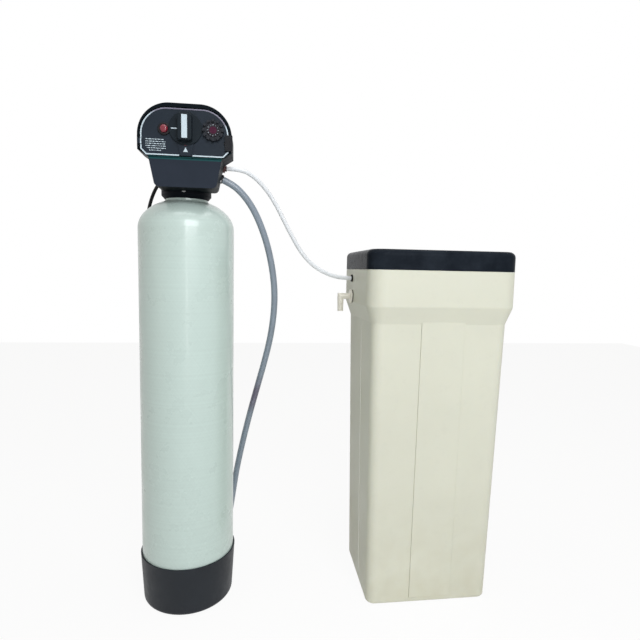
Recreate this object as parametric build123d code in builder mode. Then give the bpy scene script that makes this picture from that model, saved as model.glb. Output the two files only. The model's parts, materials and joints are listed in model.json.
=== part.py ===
from build123d import *
from math import ceil, cos, hypot, pi, radians, sin, sqrt, tan
import os

# Twin-tank water softener: a pressure vessel of resin with a control valve on its neck,
# and a brine tank beside it, joined by the brine line.
# Millimetres. +Z is up and -Y is the front. The origin is on the floor under the vessel's axis,
# and +X points from the vessel to the brine tank.

# Running clearances
gap = 0.3               # between pieces that sit in or beside each other
running = 0.05          # radial clearance of a shaft in its bore

# Resin vessel, an 8 by 35 inch wound fibreglass tank
vessel_r = 102.5
vessel_wall = 4.0
vessel_foot_z = 20.0    # lowest point of the bottom dome
dome_h = 66.0
shoulder_z = 840.0      # where the top dome starts
neck_r = 46.0
neck_top_z = 903.0
neck_bore_r = 31.0
neck_depth = 26.0
seal_seat_r = 36.0      # rebate in the mouth for the neck seal
seal_seat_depth = 3.4

# Boot that the vessel stands in
boot_rim_z = 110.0
boot_rim_r = 106.0
boot_foot_r = 99.5
boot_edge_r = 10.0
boot_floor = 4.0
boot_wall = 3.0
seat_ring_r = 54.0
seat_ring_wall = 6.0

# Inside the vessel
bed_top_z = 560.0
riser_r = 13.35
riser_wall = 2.5
riser_top_z = 930.0
basket_r = 20.0
basket_h = 70.0
basket_wall = 2.5
slot_width = 1.2
screen_r = 24.0
screen_tip_r = 17.0
screen_h = 40.0
screen_wall = 2.0

# Control valve
collar_r = 53.0
collar_foot_r = 46.0
collar_chamfer_h = 8.0
collar_top_z = 934.0
spigot_r = neck_bore_r - gap
spigot_depth = 25.0
spigot_bore_r = 25.0
pilot_r = 17.0
pilot_depth = 20.0
body_half_w = 37.0
body_rear_y = 36.0
body_top_z = 985.0
piston_z = 968.0        # height of the piston's axis
barrel_r = 27.0
barrel_rear_y = 44.0
bore_r = 19.0
bore_rear_y = 36.0
flange_y = -36.0        # face that the back plate is bolted to
flange_half = 34.0
flange_thick = 6.0
port_x = 21.0           # half the distance between inlet and outlet
port_z = 951.0
port_r = 15.5
port_bore_r = 9.0
port_face_y = 56.0
port_flange_r = 17.5
port_flange_thick = 3.0
spigot_end_y = 66.0
port_spigot_r = 13.0

# Yoke with the two pipe stubs, 1 inch male
pipe_r = 16.6
pipe_bore_r = 12.5
pipe_end_y = 100.0
pipe_length = 22.0
yoke_half_h = 15.0
yoke_thick = 15.0
clip_thick = 3.0
clip_lip = 1.5

# Piston and its seals
piston_r = 12.4
piston_length = 32.0
piston_front_y = -6.0
rod_r = 4.0
eye_y = -56.0
eye_half_y = 5.0
eye_half_z = 14.0
eye_half_x = 3.0
seal_thick = 3.0
spacer_thick = 9.0
seal_count = 5
plug_flange_r = 24.0
plug_flange_thick = 3.5
plug_depth = 20.0
stroke = 9.0            # each way from the rest position
piston_groove = 10.0    # length and depth of the waist in the piston
piston_groove_depth = 4.0
oring_r = 1.6

# Injector and brine valve on the valve's right side
side_face_x = 44.0
injector_width = 18.0
injector_z = 975.0
injector_half_h = 17.0
injector_front_y = -14.0
injector_rear_y = 16.0
brine_stem_x = 53.0
stem_r = 3.0
stem_head_r = 5.0
stem_front_y = -54.0
stem_rear_y = -5.0
stem_travel = 4.0

# Head cover and the hinged timer panel
head_x = 11.5           # the head's middle, beside the vessel's axis
head_half_w = 91.0
head_top_z = 1076.0
head_corner_r = 62.0
head_side_z = 985.0     # lower end of the straight sides
waist_half_w = 71.0
waist_z = 972.0
hem_half_w = 59.5
hem_z = 915.5
hem_corner_r = 10.0
frame_y = -108.0        # front of the frame round the panel
apron_y = -104.0        # front of the apron below it
cover_wall = 2.6
cover_edge_r = 2.0
panel_y = -107.0
panel_thick = 3.0
panel_half_w = 85.2
panel_top_z = 1066.4
panel_corner_r = 52.0
panel_side_z = 985.5
panel_foot_half_w = 74.6
panel_foot_z = 974.8
panel_gap = 1.4
back_plate_thick = 4.0
border_inset = 0.5
border_width = 2.4
border_proud = 0.6
border_gap = 5.0        # break in the border at the tab, beyond the tab's foot

# Hinge of the timer panel, in front of the frame's left side
hinge_pin_r = 0.9
knuckle_r = 1.8
knuckle_half_h = 5.0
lug_h = 5.0
leaf_thick = 1.0
leaf_grip = 4.0         # length of the leaf's foot on the panel
hinge_x = head_x - head_half_w + cover_edge_r + 0.5
hinge_y = frame_y - knuckle_r - gap
hinge_z = 1000.0

# Timer gearing and controls, on the panel
knob_x = head_x + 1.5
knob_z = 1027.5
skirt_r = 32.0
skirt_thick = 3.4
grip_w = 28.0
grip_h = 52.0
grip_proud = 16.0
insert_w = 10.7
insert_h = 44.0
insert_thick = 2.0
insert_proud = 0.4
knob_shaft_r = 5.0
tooth_module = 1.0
gear_teeth = 48
pinion_teeth = 12
gear_thick = 6.0
gear_y = -98.0          # front face of both gears
pinion_angle = 225.0    # where the pinion meshes, from +X towards +Z
pinion_shaft_r = 1.5
housing_inset = 6.0
housing_wall = 2.0
housing_rear_y = -80.0
motor_r = 21.0
motor_depth = 14.0
button_x = head_x - 39.4
button_z = 1025.0
button_r = 7.6
button_proud = 9.0
button_travel = 3.0
button_tail = button_travel + 2.0
bezel_r = 12.0
bezel_proud = 4.0
dial_x = head_x + 54.8
dial_z = 1026.0
dial_r = 20.8
dial_thick = 5.0
dial_pins = 12
dial_pin_proud = 4.0
dial_hub_r = 12.5
dial_hub_proud = 2.0
dial_shaft_r = 4.0
latch_z = 1003.0
latch_half_h = 15.0
latch_front_w = 7.2     # on the panel; the rest lies over the frame
latch_inner_x = head_x + panel_half_w - latch_front_w
latch_outer_x = head_x + head_half_w + 1.5
latch_proud = 5.0
latch_travel = 2.5
latch_key = 3.0         # thickness of the key behind the latch, and its height
latch_key_h = 6.0
tab_top_half_w = 16.0
tab_foot_half_w = 10.5
tab_proud = 3.0
tab_foot_gap = 0.6

# Crank that drives the piston rod
crank_r = 13.0
crank_throw = stroke
crank_pin_r = 2.4
crank_x = 6.0
crank_thick = 4.0
crank_shaft_r = 3.0
bracket_x = 11.0
bracket_thick = 3.0
bracket_h = 30.0
bracket_reach = 8.0     # beyond the crank's axis
bracket_foot = 26.0     # foot on the back plate, long and high
bracket_foot_h = 24.0
drive_disc_r = 12.0
drive_disc_thick = 4.0

# Brine tank
brine_x = 549.0
brine_y = 12.0
base_w, base_d, base_corner = 284.0, 232.0, 20.0
draft_w, draft_d = 20.0, 34.0   # the body's top is wider and deeper than its foot
step_w, step_d = 26.0, 34.0     # and the rim steps out further
body_w, body_d, body_corner = base_w + draft_w, base_d + draft_d, 22.0
rim_w, rim_d, rim_corner = body_w + step_w, body_d + step_d, 36.0
body_top = 646.0
rim_foot = 683.0
lid_foot = 761.0
lid_top = 804.0
lip_top = 790.0
brine_wall = 4.0
lip_wall = 3.5
lid_wall = 3.2
lid_edge_r = 13.0
base_edge_r = 9.0
rim_edge_r = 8.0
step_edge_r = 6.0
front_panel_w = 97.0
front_panel_proud = 2.0
front_panel_x = brine_x + 4.0
front_panel_foot = 14.0
front_panel_top = 654.0
wall_x = brine_x - rim_w / 2
line_y = 49.0           # where the brine line enters the left wall
line_z = 739.5

# Salt grid and brine well
grid_z = 60.0
grid_thick = 5.0
grid_pitch = 26.0
grid_hole_r = 5.0
leg_r = 12.0
leg_wall = 2.5
leg_inset = 46.0        # from the outside of the tank's foot to a leg's axis
well_r = 52.0
well_room = 2.0         # between the well and the tank's walls at the foot
well_x = brine_x - base_w / 2 + brine_wall + well_room + well_r
well_y = brine_y + base_d / 2 - brine_wall - well_room - well_r
well_wall = 2.5
well_top_z = 768.0
well_slot_w = 3.0
well_slot_h = 35.0
well_slot_z = 8.0       # above the tank's floor
line_slot_h = 34.0      # slot in the well's side for the brine line
cap_skirt = 12.0
cap_wall = 2.5
cap_thick = 3.0

# Float assembly in the well
rod_x = well_x + 15.0
rod_y = well_y + 4.0
float_rod_r = 2.5
float_rod_top = 500.0
float_r = 20.0
float_h = 50.0
float_rest_z = 113.0
float_lift = 250.0
stop_r = 6.0
stop_thick = 3.0
pickup_x = well_x - 24.0
pickup_y = line_y
pickup_r = 10.0
pickup_top = 95.0
arm_z = 60.0
arm_h = 15.0
arm_w = 8.0
arm_eye_r = 7.0

# Ports in the brine tank's left wall
grommet_r = 8.5
grommet_neck_r = 6.7
grommet_flange = 3.0
overflow_y = 47.0
overflow_z = 696.0
overflow_flange_r = 16.5
overflow_flange = 4.0
overflow_shank_r = 10.0
overflow_arm_r = 7.3
overflow_bore_r = 5.3
overflow_reach = 22.5
overflow_drop = 36.0
overflow_spigot_r = 6.9 # end of the elbow, under its thicker arm
overflow_spigot = 18.0
gasket_thick = 2.0
overflow_nut_r = 14.5
overflow_nut_thick = 8.0
overflow_boss_r = overflow_nut_r + 0.5
rim_slope = (rim_w - body_w) / 2 / (rim_foot - body_top)
overflow_boss = rim_slope * (rim_foot - overflow_z + overflow_nut_r) + running

# Free hoses and cord: diameters and routes
brine_tube_d = 9.5
drain_hose_d = 15.0
cord_d = 7.5

brine_route = [
    (88, -25, 970.5), (114, -25, 970.5), (141, -15, 963), (172, -4, 936), (196, 3, 902),
    (215, 7, 866), (235, 13, 830), (257, 19, 795), (286, 27, 766), (321, 37, 748),
    (wall_x - 30, line_y, line_z), (wall_x - grommet_flange, line_y, line_z),
]
drain_route = [
    (68, -26, 951), (97, -22, 941), (125, -16, 917.5), (150, -7, 882), (173, 4, 827),
    (188, 16, 768), (196, 29, 709), (195, 41, 650), (187, 52, 590), (174, 64, 532),
    (159, 75, 474), (144, 85, 416), (130, 96, 357), (117, 106, 297), (106, 115, 240),
    (98, 124, 185), (91, 133, 135), (84, 145, 92), (78, 164, 55), (72, 191, 27),
    (66, 223, 11), (60, 256, 7.8), (52, 289, 7.8),
]
cord_route = [
    (-50, -18, 941), (-60, 6, 938), (-74, 23, 922), (-88, 41, 894), (-98, 60, 854),
    (-104, 78, 806), (-108, 94, 752), (-110, 107, 694), (-111, 115, 634), (-109, 120, 560),
    (-108, 123, 475), (-108, 124, 390), (-109, 124, 305), (-111, 125, 225), (-114, 128, 155),
    (-117, 134, 98), (-119, 148, 50), (-118, 172, 18), (-117, 202, 4.6), (-117, 224, 4.6),
]

# Put-away coil of the cord, wound in and out again in two layers
coil_r = 45.0           # radius where the cord joins the coil
coil_pitch = 8.0        # step between turns, sideways and up
coil_turns_in = 1.5
coil_turns = 3.25
coil_tail = 18.0        # straight end of the cord before the plug
climb_turns = 0.5
tie_width = 8.0
tie_thick = 0.5
tie_gap = 0.6
tie_gap_below = 0.3

# Plug on the end of the cord
plug_length = 36.0
plug_width = 26.0
plug_height = 25.0      # so that it rests on the floor at the coil's upper layer
plug_sleeve = 18.0
blade_length = 17.0
blade_width = 6.4
blade_thick = 1.6
blade_pitch = 12.7

# Strain relief of the cord in the back plate
relief_length = 15.0    # tapered part behind the plate
relief_r = 6.5
relief_tip_r = 4.4
relief_neck_r = 4.8
relief_neck = 15.0

# Screws
screw_head_r = 4.5
screw_head = 3.0
screw_r = 2.4
plate_screw_pitch = 27.0
plate_screw_grip = 8.0
collar_screw_length = 10.0

os.makedirs("parts", exist_ok=True)

front = Plane.XZ        # local x is X, local y is Z, and its normal points to -Y


def front_at(y):
    """The plane that looks like the front view, at depth y."""
    return Plane(origin=(0, y, 0), x_dir=(1, 0, 0), z_dir=(0, -1, 0))


def side_at(x, y=0.0, z=0.0):
    """A plane across X whose normal points to +X and whose local x is Y."""
    return Plane(origin=(x, y, z), x_dir=(0, 1, 0), z_dir=(1, 0, 0))


def save(part, name):
    """Label a finished piece and write it to its own file."""
    part.label = name
    export_step(part, f"parts/{name}.step")


def rounded_outline(points, radii, y):
    """A closed face at depth y through points of the front view, each corner with its own radius."""
    with BuildSketch(front_at(y)) as outline:
        with BuildLine():
            Polyline(*points, close=True)
        make_face()
        for point, radius in zip(points, radii):
            if radius:
                fillet(outline.vertices().sort_by_distance(Vector(*point))[0], radius)
    return outline.sketch


def head_outline(y, inset=0.0):
    """Outline of the head cover as seen from the front, drawn in by an even inset."""
    half_w, waist_w, hem_w = head_half_w - inset, waist_half_w - inset, hem_half_w - inset
    side_z, waist_level = head_side_z + inset / 2, waist_z + inset / 2
    points = [
        (head_x - half_w, head_top_z - inset), (head_x + half_w, head_top_z - inset),
        (head_x + half_w, side_z), (head_x + waist_w, waist_level),
        (head_x + hem_w, hem_z + inset), (head_x - hem_w, hem_z + inset),
        (head_x - waist_w, waist_level), (head_x - half_w, side_z),
    ]
    corner, hem_corner = head_corner_r - inset, hem_corner_r - inset
    return rounded_outline(points, [corner, corner, 0, 0, hem_corner, hem_corner, 0, 0], y)


def panel_outline(y, grow=0.0):
    """Outline of the timer panel, grown by an even gap."""
    half_w, foot_w = panel_half_w + grow, panel_foot_half_w + grow / 2
    side_z, foot_z = panel_side_z - grow / 2, panel_foot_z - grow
    points = [
        (head_x - half_w, panel_top_z + grow), (head_x + half_w, panel_top_z + grow),
        (head_x + half_w, side_z), (head_x + foot_w, foot_z),
        (head_x - foot_w, foot_z), (head_x - half_w, side_z),
    ]
    corner = panel_corner_r + grow
    return rounded_outline(points, [corner, corner, 0, 0, 0, 0], y)


def ring_part(outer_r, inner_r, height, plane):
    """A plain ring standing on a plane."""
    with BuildPart() as ring:
        with BuildSketch(plane):
            Circle(outer_r)
            Circle(inner_r, mode=Mode.SUBTRACT)
        extrude(amount=height)
    return ring.part


def capsule_profile(radius, foot, shoulder, dome):
    """Half section of a vessel with elliptical ends, on the front plane."""
    with BuildSketch(front) as profile:
        with BuildLine():
            low = EllipticalCenterArc((0, foot + dome), radius, dome, start_angle=270, arc_size=90)
            Line(low @ 1, (radius, shoulder))
            high = EllipticalCenterArc((0, shoulder), radius, dome, start_angle=0, arc_size=90)
            Line(high @ 1, low @ 0)
        make_face()
    return profile.sketch


def dome_z(radius, wall=0.0):
    """Height of the bottom dome's surface at a distance from the axis."""
    reach = vessel_r - wall
    return vessel_foot_z + dome_h - (dome_h - wall) * sqrt(1 - (radius / reach) ** 2)


def cord_path(points, diameter, name):
    """Straight runs joined by the largest arcs that they allow, and a print of the radii."""
    vectors = [Vector(*point) for point in points]
    runs = [b - a for a, b in zip(vectors, vectors[1:])]
    shares = [0.9] + [0.45] * (len(runs) - 2) + [0.9]
    reaches = [run.length * share for run, share in zip(runs, shares)]
    radii = [
        min(before, after) / tan(radians(a.get_angle(b)) / 2)
        for a, b, before, after in zip(runs, runs[1:], reaches, reaches[1:])
    ]
    with BuildLine() as path:
        FilletPolyline(*points, radius=radii)
    print(name, "radii in diameters", [round(radius / diameter, 1) for radius in radii])
    return path.wires()[0]


def tube_along(path, diameter, name):
    """A round tube swept along a path, with its volume set against section times length."""
    start = Plane(origin=path @ 0, z_dir=path % 0)
    with BuildPart() as tube:
        with BuildSketch(start):
            Circle(diameter / 2)
        sweep(path=path)
    section = pi * diameter ** 2 / 4
    print(name, "length", round(path.length, 1), "volume ratio", round(tube.part.volume / section / path.length, 4))
    return tube.part


def run_plane(points, along=0.0):
    """A plane across a route's first run, some way along it."""
    start, step = Vector(*points[0]), Vector(*points[1]) - Vector(*points[0])
    direction = step.normalized()
    return Plane(origin=start + direction * along, z_dir=direction)


def gear_part(teeth, plane, thickness, bore_r, phase=0.0):
    """A spur gear with straight-sided teeth that are thin enough to run with backlash."""
    pitch_r = teeth * tooth_module / 2
    pitch = pi * tooth_module
    root_r, tip_r = pitch_r - 1.2 * tooth_module, pitch_r + 0.85 * tooth_module
    root_half, tip_half = 0.29 * pitch, 0.11 * pitch
    with BuildPart() as gear:
        with BuildSketch(plane):
            Circle(root_r)
            with PolarLocations(0, teeth, start_angle=phase):
                Polygon(
                    (root_r - 0.5, -root_half), (tip_r, -tip_half), (tip_r, tip_half), (root_r - 0.5, root_half),
                    align=None,
                )
            if bore_r:
                Circle(bore_r, mode=Mode.SUBTRACT)
        extrude(amount=-thickness)
    return gear.part


# Boot
with BuildPart() as tank_boot:
    with BuildSketch(front):
        with BuildLine():
            seat_top_z = dome_z(seat_ring_r) - gap
            inner_top_r = vessel_r + gap
            inner_foot_r = boot_foot_r - boot_wall - 1
            outer = Polyline((0, 0), (boot_foot_r, 0), (boot_rim_r, boot_rim_z), (inner_top_r, boot_rim_z))
            Polyline(
                outer @ 1, (inner_top_r, vessel_foot_z + dome_h - 6), (inner_foot_r, boot_floor + boot_edge_r),
                (inner_foot_r - 8, boot_floor), (seat_ring_r + seat_ring_wall, boot_floor),
                (seat_ring_r + seat_ring_wall, seat_top_z), (seat_ring_r, seat_top_z),
                (seat_ring_r, boot_floor), (0, boot_floor), (0, 0),
            )
        make_face()
    revolve(axis=Axis.Z)
    fillet(tank_boot.edges().filter_by(GeomType.CIRCLE).group_by(Axis.Z)[0], boot_edge_r)
save(tank_boot.part, "tank_boot")

# Resin vessel: liner and winding as one shell, with the threaded neck ring
with BuildPart() as resin_tank:
    revolve(capsule_profile(vessel_r, vessel_foot_z, shoulder_z, dome_h), axis=Axis.Z)
    with BuildSketch(Plane.XY.offset(shoulder_z + dome_h / 2)):
        Circle(neck_r)
    extrude(amount=neck_top_z - shoulder_z - dome_h / 2)
    revolve(
        capsule_profile(vessel_r - vessel_wall, vessel_foot_z + vessel_wall, shoulder_z, dome_h - vessel_wall),
        axis=Axis.Z,
        mode=Mode.SUBTRACT,
    )
    with BuildSketch(Plane.XY.offset(neck_top_z)):
        Circle(neck_r)
    extrude(amount=-neck_depth)
    with BuildSketch(Plane.XY.offset(neck_top_z)):
        Circle(neck_bore_r)
    extrude(amount=neck_depth, both=True, mode=Mode.SUBTRACT)
    with BuildSketch(Plane.XY.offset(neck_top_z)):
        Circle(seal_seat_r)
    extrude(amount=-seal_seat_depth, mode=Mode.SUBTRACT)
save(resin_tank.part, "resin_tank")

# Bottom distributor: a slotted basket on the end of the riser
basket_foot_z = dome_z(basket_r, vessel_wall) + gap
basket_top_z = basket_foot_z + basket_h
with BuildPart() as bottom_distributor:
    with BuildSketch(Plane.XY.offset(basket_foot_z)):
        Circle(basket_r)
    extrude(amount=basket_h)
    with BuildSketch(Plane.XY.offset(basket_foot_z + basket_wall)):
        Circle(basket_r - basket_wall)
    extrude(amount=basket_h - 2 * basket_wall - 8, mode=Mode.SUBTRACT)
    with BuildSketch(Plane.XY.offset(basket_top_z)):
        Circle(riser_r + running)
    extrude(amount=-(basket_wall + 8.5), mode=Mode.SUBTRACT)
    with BuildSketch(Plane.XY.offset(basket_foot_z + 6)):
        with PolarLocations(basket_r, 16):
            Rectangle(4 * basket_wall, slot_width)
    extrude(amount=basket_h - 26, mode=Mode.SUBTRACT)
save(bottom_distributor.part, "bottom_distributor")

# Riser tube, from the distributor up into the valve
riser_foot_z = basket_top_z - basket_wall - 8
save(
    ring_part(riser_r, riser_r - riser_wall, riser_top_z - riser_foot_z, Plane.XY.offset(riser_foot_z)),
    "riser_tube",
)

# Resin bed round the riser and the distributor
with BuildPart() as resin_bed:
    revolve(
        capsule_profile(
            vessel_r - vessel_wall - gap, vessel_foot_z + vessel_wall + gap, shoulder_z, dome_h - vessel_wall - gap
        ),
        axis=Axis.Z,
    )
    split(bisect_by=Plane.XY.offset(bed_top_z), keep=Keep.BOTTOM)
    with BuildSketch(Plane.XY):
        Circle(riser_r + gap)
    extrude(amount=bed_top_z, mode=Mode.SUBTRACT)
    with BuildSketch(Plane.XY):
        Circle(basket_r + gap)
    extrude(amount=basket_top_z + gap, mode=Mode.SUBTRACT)
save(resin_bed.part, "resin_bed")

# Top screen, hung under the valve's spigot round the riser
screen_top_z = neck_top_z + gap - spigot_depth - gap
with BuildPart() as top_screen:
    with BuildSketch(front):
        with BuildLine():
            Polyline(
                (riser_r + gap, screen_top_z - screen_h), (screen_tip_r, screen_top_z - screen_h),
                (screen_r, screen_top_z - 2), (spigot_r - 1, screen_top_z - 2), (spigot_r - 1, screen_top_z),
                (screen_r - screen_wall, screen_top_z),
                (screen_tip_r - screen_wall + 0.6, screen_top_z - screen_h + screen_wall),
                (riser_r + gap, screen_top_z - screen_h + screen_wall),
                close=True,
            )
        make_face()
    revolve(axis=Axis.Z)
    with BuildSketch(Plane.XY.offset(screen_top_z - screen_h + 6)):
        with PolarLocations(screen_r - screen_wall, 16):
            Rectangle(5 * screen_wall, slot_width)
    extrude(amount=screen_h - 12, mode=Mode.SUBTRACT)
save(top_screen.part, "top_screen")

# Valve body: collar and spigot, body block, piston barrel and the two rear ports
valve_foot_z = neck_top_z + gap
drain_centre = run_plane(drain_route, -11).origin
drain_boss_r = 8.0
drain_boss_x = 49.0
collar_screw_x, collar_screw_z = 1.5, 918.0
port_bore_front_y = 22.0
pilot_top = 18.0
oring_groove_y = port_face_y + 6.2
with BuildPart() as valve_body:
    with BuildSketch(front):
        with BuildLine():
            Polyline(
                (0, valve_foot_z - spigot_depth), (spigot_r, valve_foot_z - spigot_depth), (spigot_r, valve_foot_z),
                (collar_foot_r, valve_foot_z), (collar_r, valve_foot_z + collar_chamfer_h), (collar_r, collar_top_z),
                (0, collar_top_z), close=True,
            )
        make_face()
    revolve(axis=Axis.Z)
    with BuildSketch(Plane.XY.offset(collar_top_z)):
        with Locations((0, (body_rear_y + flange_y) / 2)):
            RectangleRounded(2 * body_half_w, body_rear_y - flange_y, 7)
    extrude(amount=body_top_z - collar_top_z)
    with BuildSketch(front_at(flange_y)):
        with Locations((0, piston_z)):
            Circle(barrel_r)
    extrude(amount=-(barrel_rear_y - flange_y))
    with BuildSketch(front_at(flange_y)):
        with Locations((0, piston_z)):
            RectangleRounded(2 * flange_half, 2 * flange_half, 6)
    extrude(amount=-flange_thick)
    # Ports to the yoke, each with a flange and an end spigot
    with BuildSketch(front_at(body_rear_y - 2)):
        with Locations((-port_x, port_z), (port_x, port_z)):
            Circle(port_r)
    extrude(amount=-(port_face_y - body_rear_y + 2))
    with BuildSketch(front_at(port_face_y)):
        with Locations((-port_x, port_z), (port_x, port_z)):
            Circle(port_flange_r)
    extrude(amount=port_flange_thick)
    with BuildSketch(front_at(port_face_y)):
        with Locations((-port_x, port_z), (port_x, port_z)):
            Circle(port_spigot_r)
    extrude(amount=-(spigot_end_y - port_face_y))
    # Face for the injector and boss for the drain elbow, on the right side
    with BuildSketch(side_at(body_half_w - 2)):
        with Locations(((injector_front_y + injector_rear_y) / 2, injector_z)):
            RectangleRounded(injector_rear_y - injector_front_y, 2 * injector_half_h, 3)
    extrude(amount=side_face_x - body_half_w + 2)
    with BuildSketch(side_at(body_half_w - 2)):
        with Locations((drain_centre.Y, drain_centre.Z)):
            Circle(drain_boss_r)
    extrude(amount=drain_boss_x - body_half_w + 2)
    # Piston bore, waterways and riser pilot
    with BuildSketch(front_at(flange_y)):
        with Locations((0, piston_z)):
            Circle(bore_r)
    extrude(amount=-(bore_rear_y - flange_y), mode=Mode.SUBTRACT)
    with BuildSketch(front_at(spigot_end_y)):
        with Locations((-port_x, port_z), (port_x, port_z)):
            Circle(port_bore_r)
    extrude(amount=spigot_end_y - port_bore_front_y, mode=Mode.SUBTRACT)
    with BuildSketch(Plane.XY.offset(valve_foot_z - spigot_depth)):
        Circle(spigot_bore_r)
        Circle(pilot_r, mode=Mode.SUBTRACT)
    extrude(amount=spigot_depth + pilot_top, mode=Mode.SUBTRACT)
    with BuildSketch(Plane.XY.offset(valve_foot_z - spigot_depth)):
        Circle(spigot_bore_r)
    extrude(amount=spigot_depth, mode=Mode.SUBTRACT)
    with BuildSketch(Plane.XY.offset(valve_foot_z - 1)):
        Circle(riser_r + running)
    extrude(amount=riser_top_z - valve_foot_z + 1 + gap, mode=Mode.SUBTRACT)
    with BuildSketch(Plane.XY.offset(riser_top_z)):
        Circle(riser_r - riser_wall)
    extrude(amount=piston_z - riser_top_z, mode=Mode.SUBTRACT)
    # Grooves for the yoke seals
    for side in (-1, 1):
        with BuildSketch(front_at(oring_groove_y)):
            with Locations((side * port_x, port_z)):
                Circle(port_spigot_r + 1)
                Circle(port_spigot_r - 1.9, mode=Mode.SUBTRACT)
        extrude(amount=2.4, mode=Mode.SUBTRACT)
    # Holes for the back plate's screws and for the small screw in the collar
    with BuildSketch(front_at(flange_y)):
        with Locations((0, piston_z)):
            with GridLocations(2 * plate_screw_pitch, 2 * plate_screw_pitch, 2, 2):
                Circle(screw_r + running)
    extrude(amount=-flange_thick - 6, mode=Mode.SUBTRACT)
    with BuildSketch(front_at(-collar_r)):
        with Locations((collar_screw_x, collar_screw_z)):
            Circle(screw_r + running)
    extrude(amount=-12, mode=Mode.SUBTRACT)
save(valve_body.part, "valve_body")

# O-rings between neck and valve, and between valve and yoke
with BuildPart() as valve_orings:
    with Locations((0, 0, valve_foot_z - oring_r - running)):
        Torus((seal_seat_r + spigot_r) / 2, oring_r)
    with Locations(
        Location((-port_x, port_face_y + 5, port_z), (90, 0, 0)),
        Location((port_x, port_face_y + 5, port_z), (90, 0, 0)),
    ):
        Torus(port_spigot_r - 0.8, 1.0)
save(valve_orings.part, "valve_orings")

# Piston bore: seals and cage spacers by turns
stack_rear_y = bore_rear_y - 0.5
seal_planes = [
    front_at(stack_rear_y - index * (seal_thick + spacer_thick)) for index in range(seal_count)
]
with BuildPart() as piston_seals:
    for plane in seal_planes:
        with BuildSketch(plane):
            with Locations((0, piston_z)):
                Circle(bore_r - running)
                Circle(piston_r + 0.2, mode=Mode.SUBTRACT)
        extrude(amount=seal_thick)
save(piston_seals.part, "piston_seals")

with BuildPart() as seal_spacers:
    for plane in seal_planes[:-1]:
        with BuildSketch(plane.offset(seal_thick)):
            with Locations((0, piston_z)):
                Circle(bore_r - 2 * running)
                Circle(bore_r - 4, mode=Mode.SUBTRACT)
        extrude(amount=spacer_thick)
        with BuildSketch(plane.offset(seal_thick + 2)):
            with Locations((0, piston_z)):
                with PolarLocations(bore_r - 2, 8):
                    Rectangle(8, 6)
        extrude(amount=spacer_thick - 4, mode=Mode.SUBTRACT)
save(seal_spacers.part, "seal_spacers")

# End plug that closes the piston bore
with BuildPart() as end_plug:
    with BuildSketch(front_at(flange_y)):
        with Locations((0, piston_z)):
            Circle(plug_flange_r)
    extrude(amount=plug_flange_thick)
    with BuildSketch(front_at(flange_y)):
        with Locations((0, piston_z)):
            Circle(bore_r - running)
    extrude(amount=-plug_depth)
    with BuildSketch(front_at(flange_y - plug_flange_thick)):
        with Locations((0, piston_z)):
            Circle(rod_r + running)
    extrude(amount=-(plug_depth + plug_flange_thick), mode=Mode.SUBTRACT)
save(end_plug.part, "end_plug")

# Piston with its rod and the slotted eye that the crank pin works in
with BuildPart() as piston:
    with BuildSketch(front_at(piston_front_y)):
        with Locations((0, piston_z)):
            Circle(piston_r)
    extrude(amount=-piston_length)
    with BuildSketch(front_at(piston_front_y + (piston_length - piston_groove) / 2)):
        with Locations((0, piston_z)):
            Circle(piston_r + 1)
            Circle(piston_r - piston_groove_depth, mode=Mode.SUBTRACT)
    extrude(amount=-piston_groove, mode=Mode.SUBTRACT)
    with BuildSketch(front_at(eye_y + eye_half_y - 1)):
        with Locations((0, piston_z)):
            Circle(rod_r)
    extrude(amount=-(piston_front_y - eye_y - eye_half_y + 2))
    with BuildSketch(side_at(-eye_half_x, eye_y, piston_z)):
        RectangleRounded(2 * eye_half_y, 2 * eye_half_z, 2.5)
        SlotOverall(2 * crank_throw + 2.4, 2 * crank_pin_r + 0.4, rotation=90, mode=Mode.SUBTRACT)
    extrude(amount=2 * eye_half_x)
save(piston.part, "piston")

# Yoke: sockets over the valve's spigots, body and the two threaded pipe stubs
yoke_face_y = port_face_y + gap
yoke_body_y = pipe_end_y - pipe_length
with BuildPart() as yoke:
    for x in (-port_x, port_x):
        with BuildSketch(front_at(yoke_face_y)):
            with Locations((x, port_z)):
                Circle(port_flange_r)
        extrude(amount=-port_flange_thick)
        with BuildSketch(front_at(yoke_face_y + port_flange_thick)):
            with Locations((x, port_z)):
                Circle(port_r)
        extrude(amount=-(yoke_body_y - yoke_face_y - port_flange_thick))
        with BuildSketch(front_at(yoke_body_y)):
            with Locations((x, port_z)):
                Circle(pipe_r)
        extrude(amount=-pipe_length)
    with BuildSketch(front_at(yoke_body_y)):
        with Locations((0, port_z)):
            RectangleRounded(2 * (port_x + pipe_r), 2 * yoke_half_h, 8)
    extrude(amount=yoke_thick)
    for x in (-port_x, port_x):
        with BuildSketch(front_at(yoke_face_y)):
            with Locations((x, port_z)):
                Circle(port_spigot_r + gap)
        extrude(amount=-(spigot_end_y - port_face_y + 1), mode=Mode.SUBTRACT)
        with BuildSketch(front_at(yoke_face_y)):
            with Locations((x, port_z)):
                Circle(port_bore_r)
        extrude(amount=-(pipe_end_y - yoke_face_y), mode=Mode.SUBTRACT)
        with BuildSketch(front_at(yoke_body_y - 2)):
            with Locations((x, port_z)):
                Circle(pipe_bore_r)
        extrude(amount=-(pipe_length + 2), mode=Mode.SUBTRACT)
save(yoke.part, "yoke")

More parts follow.
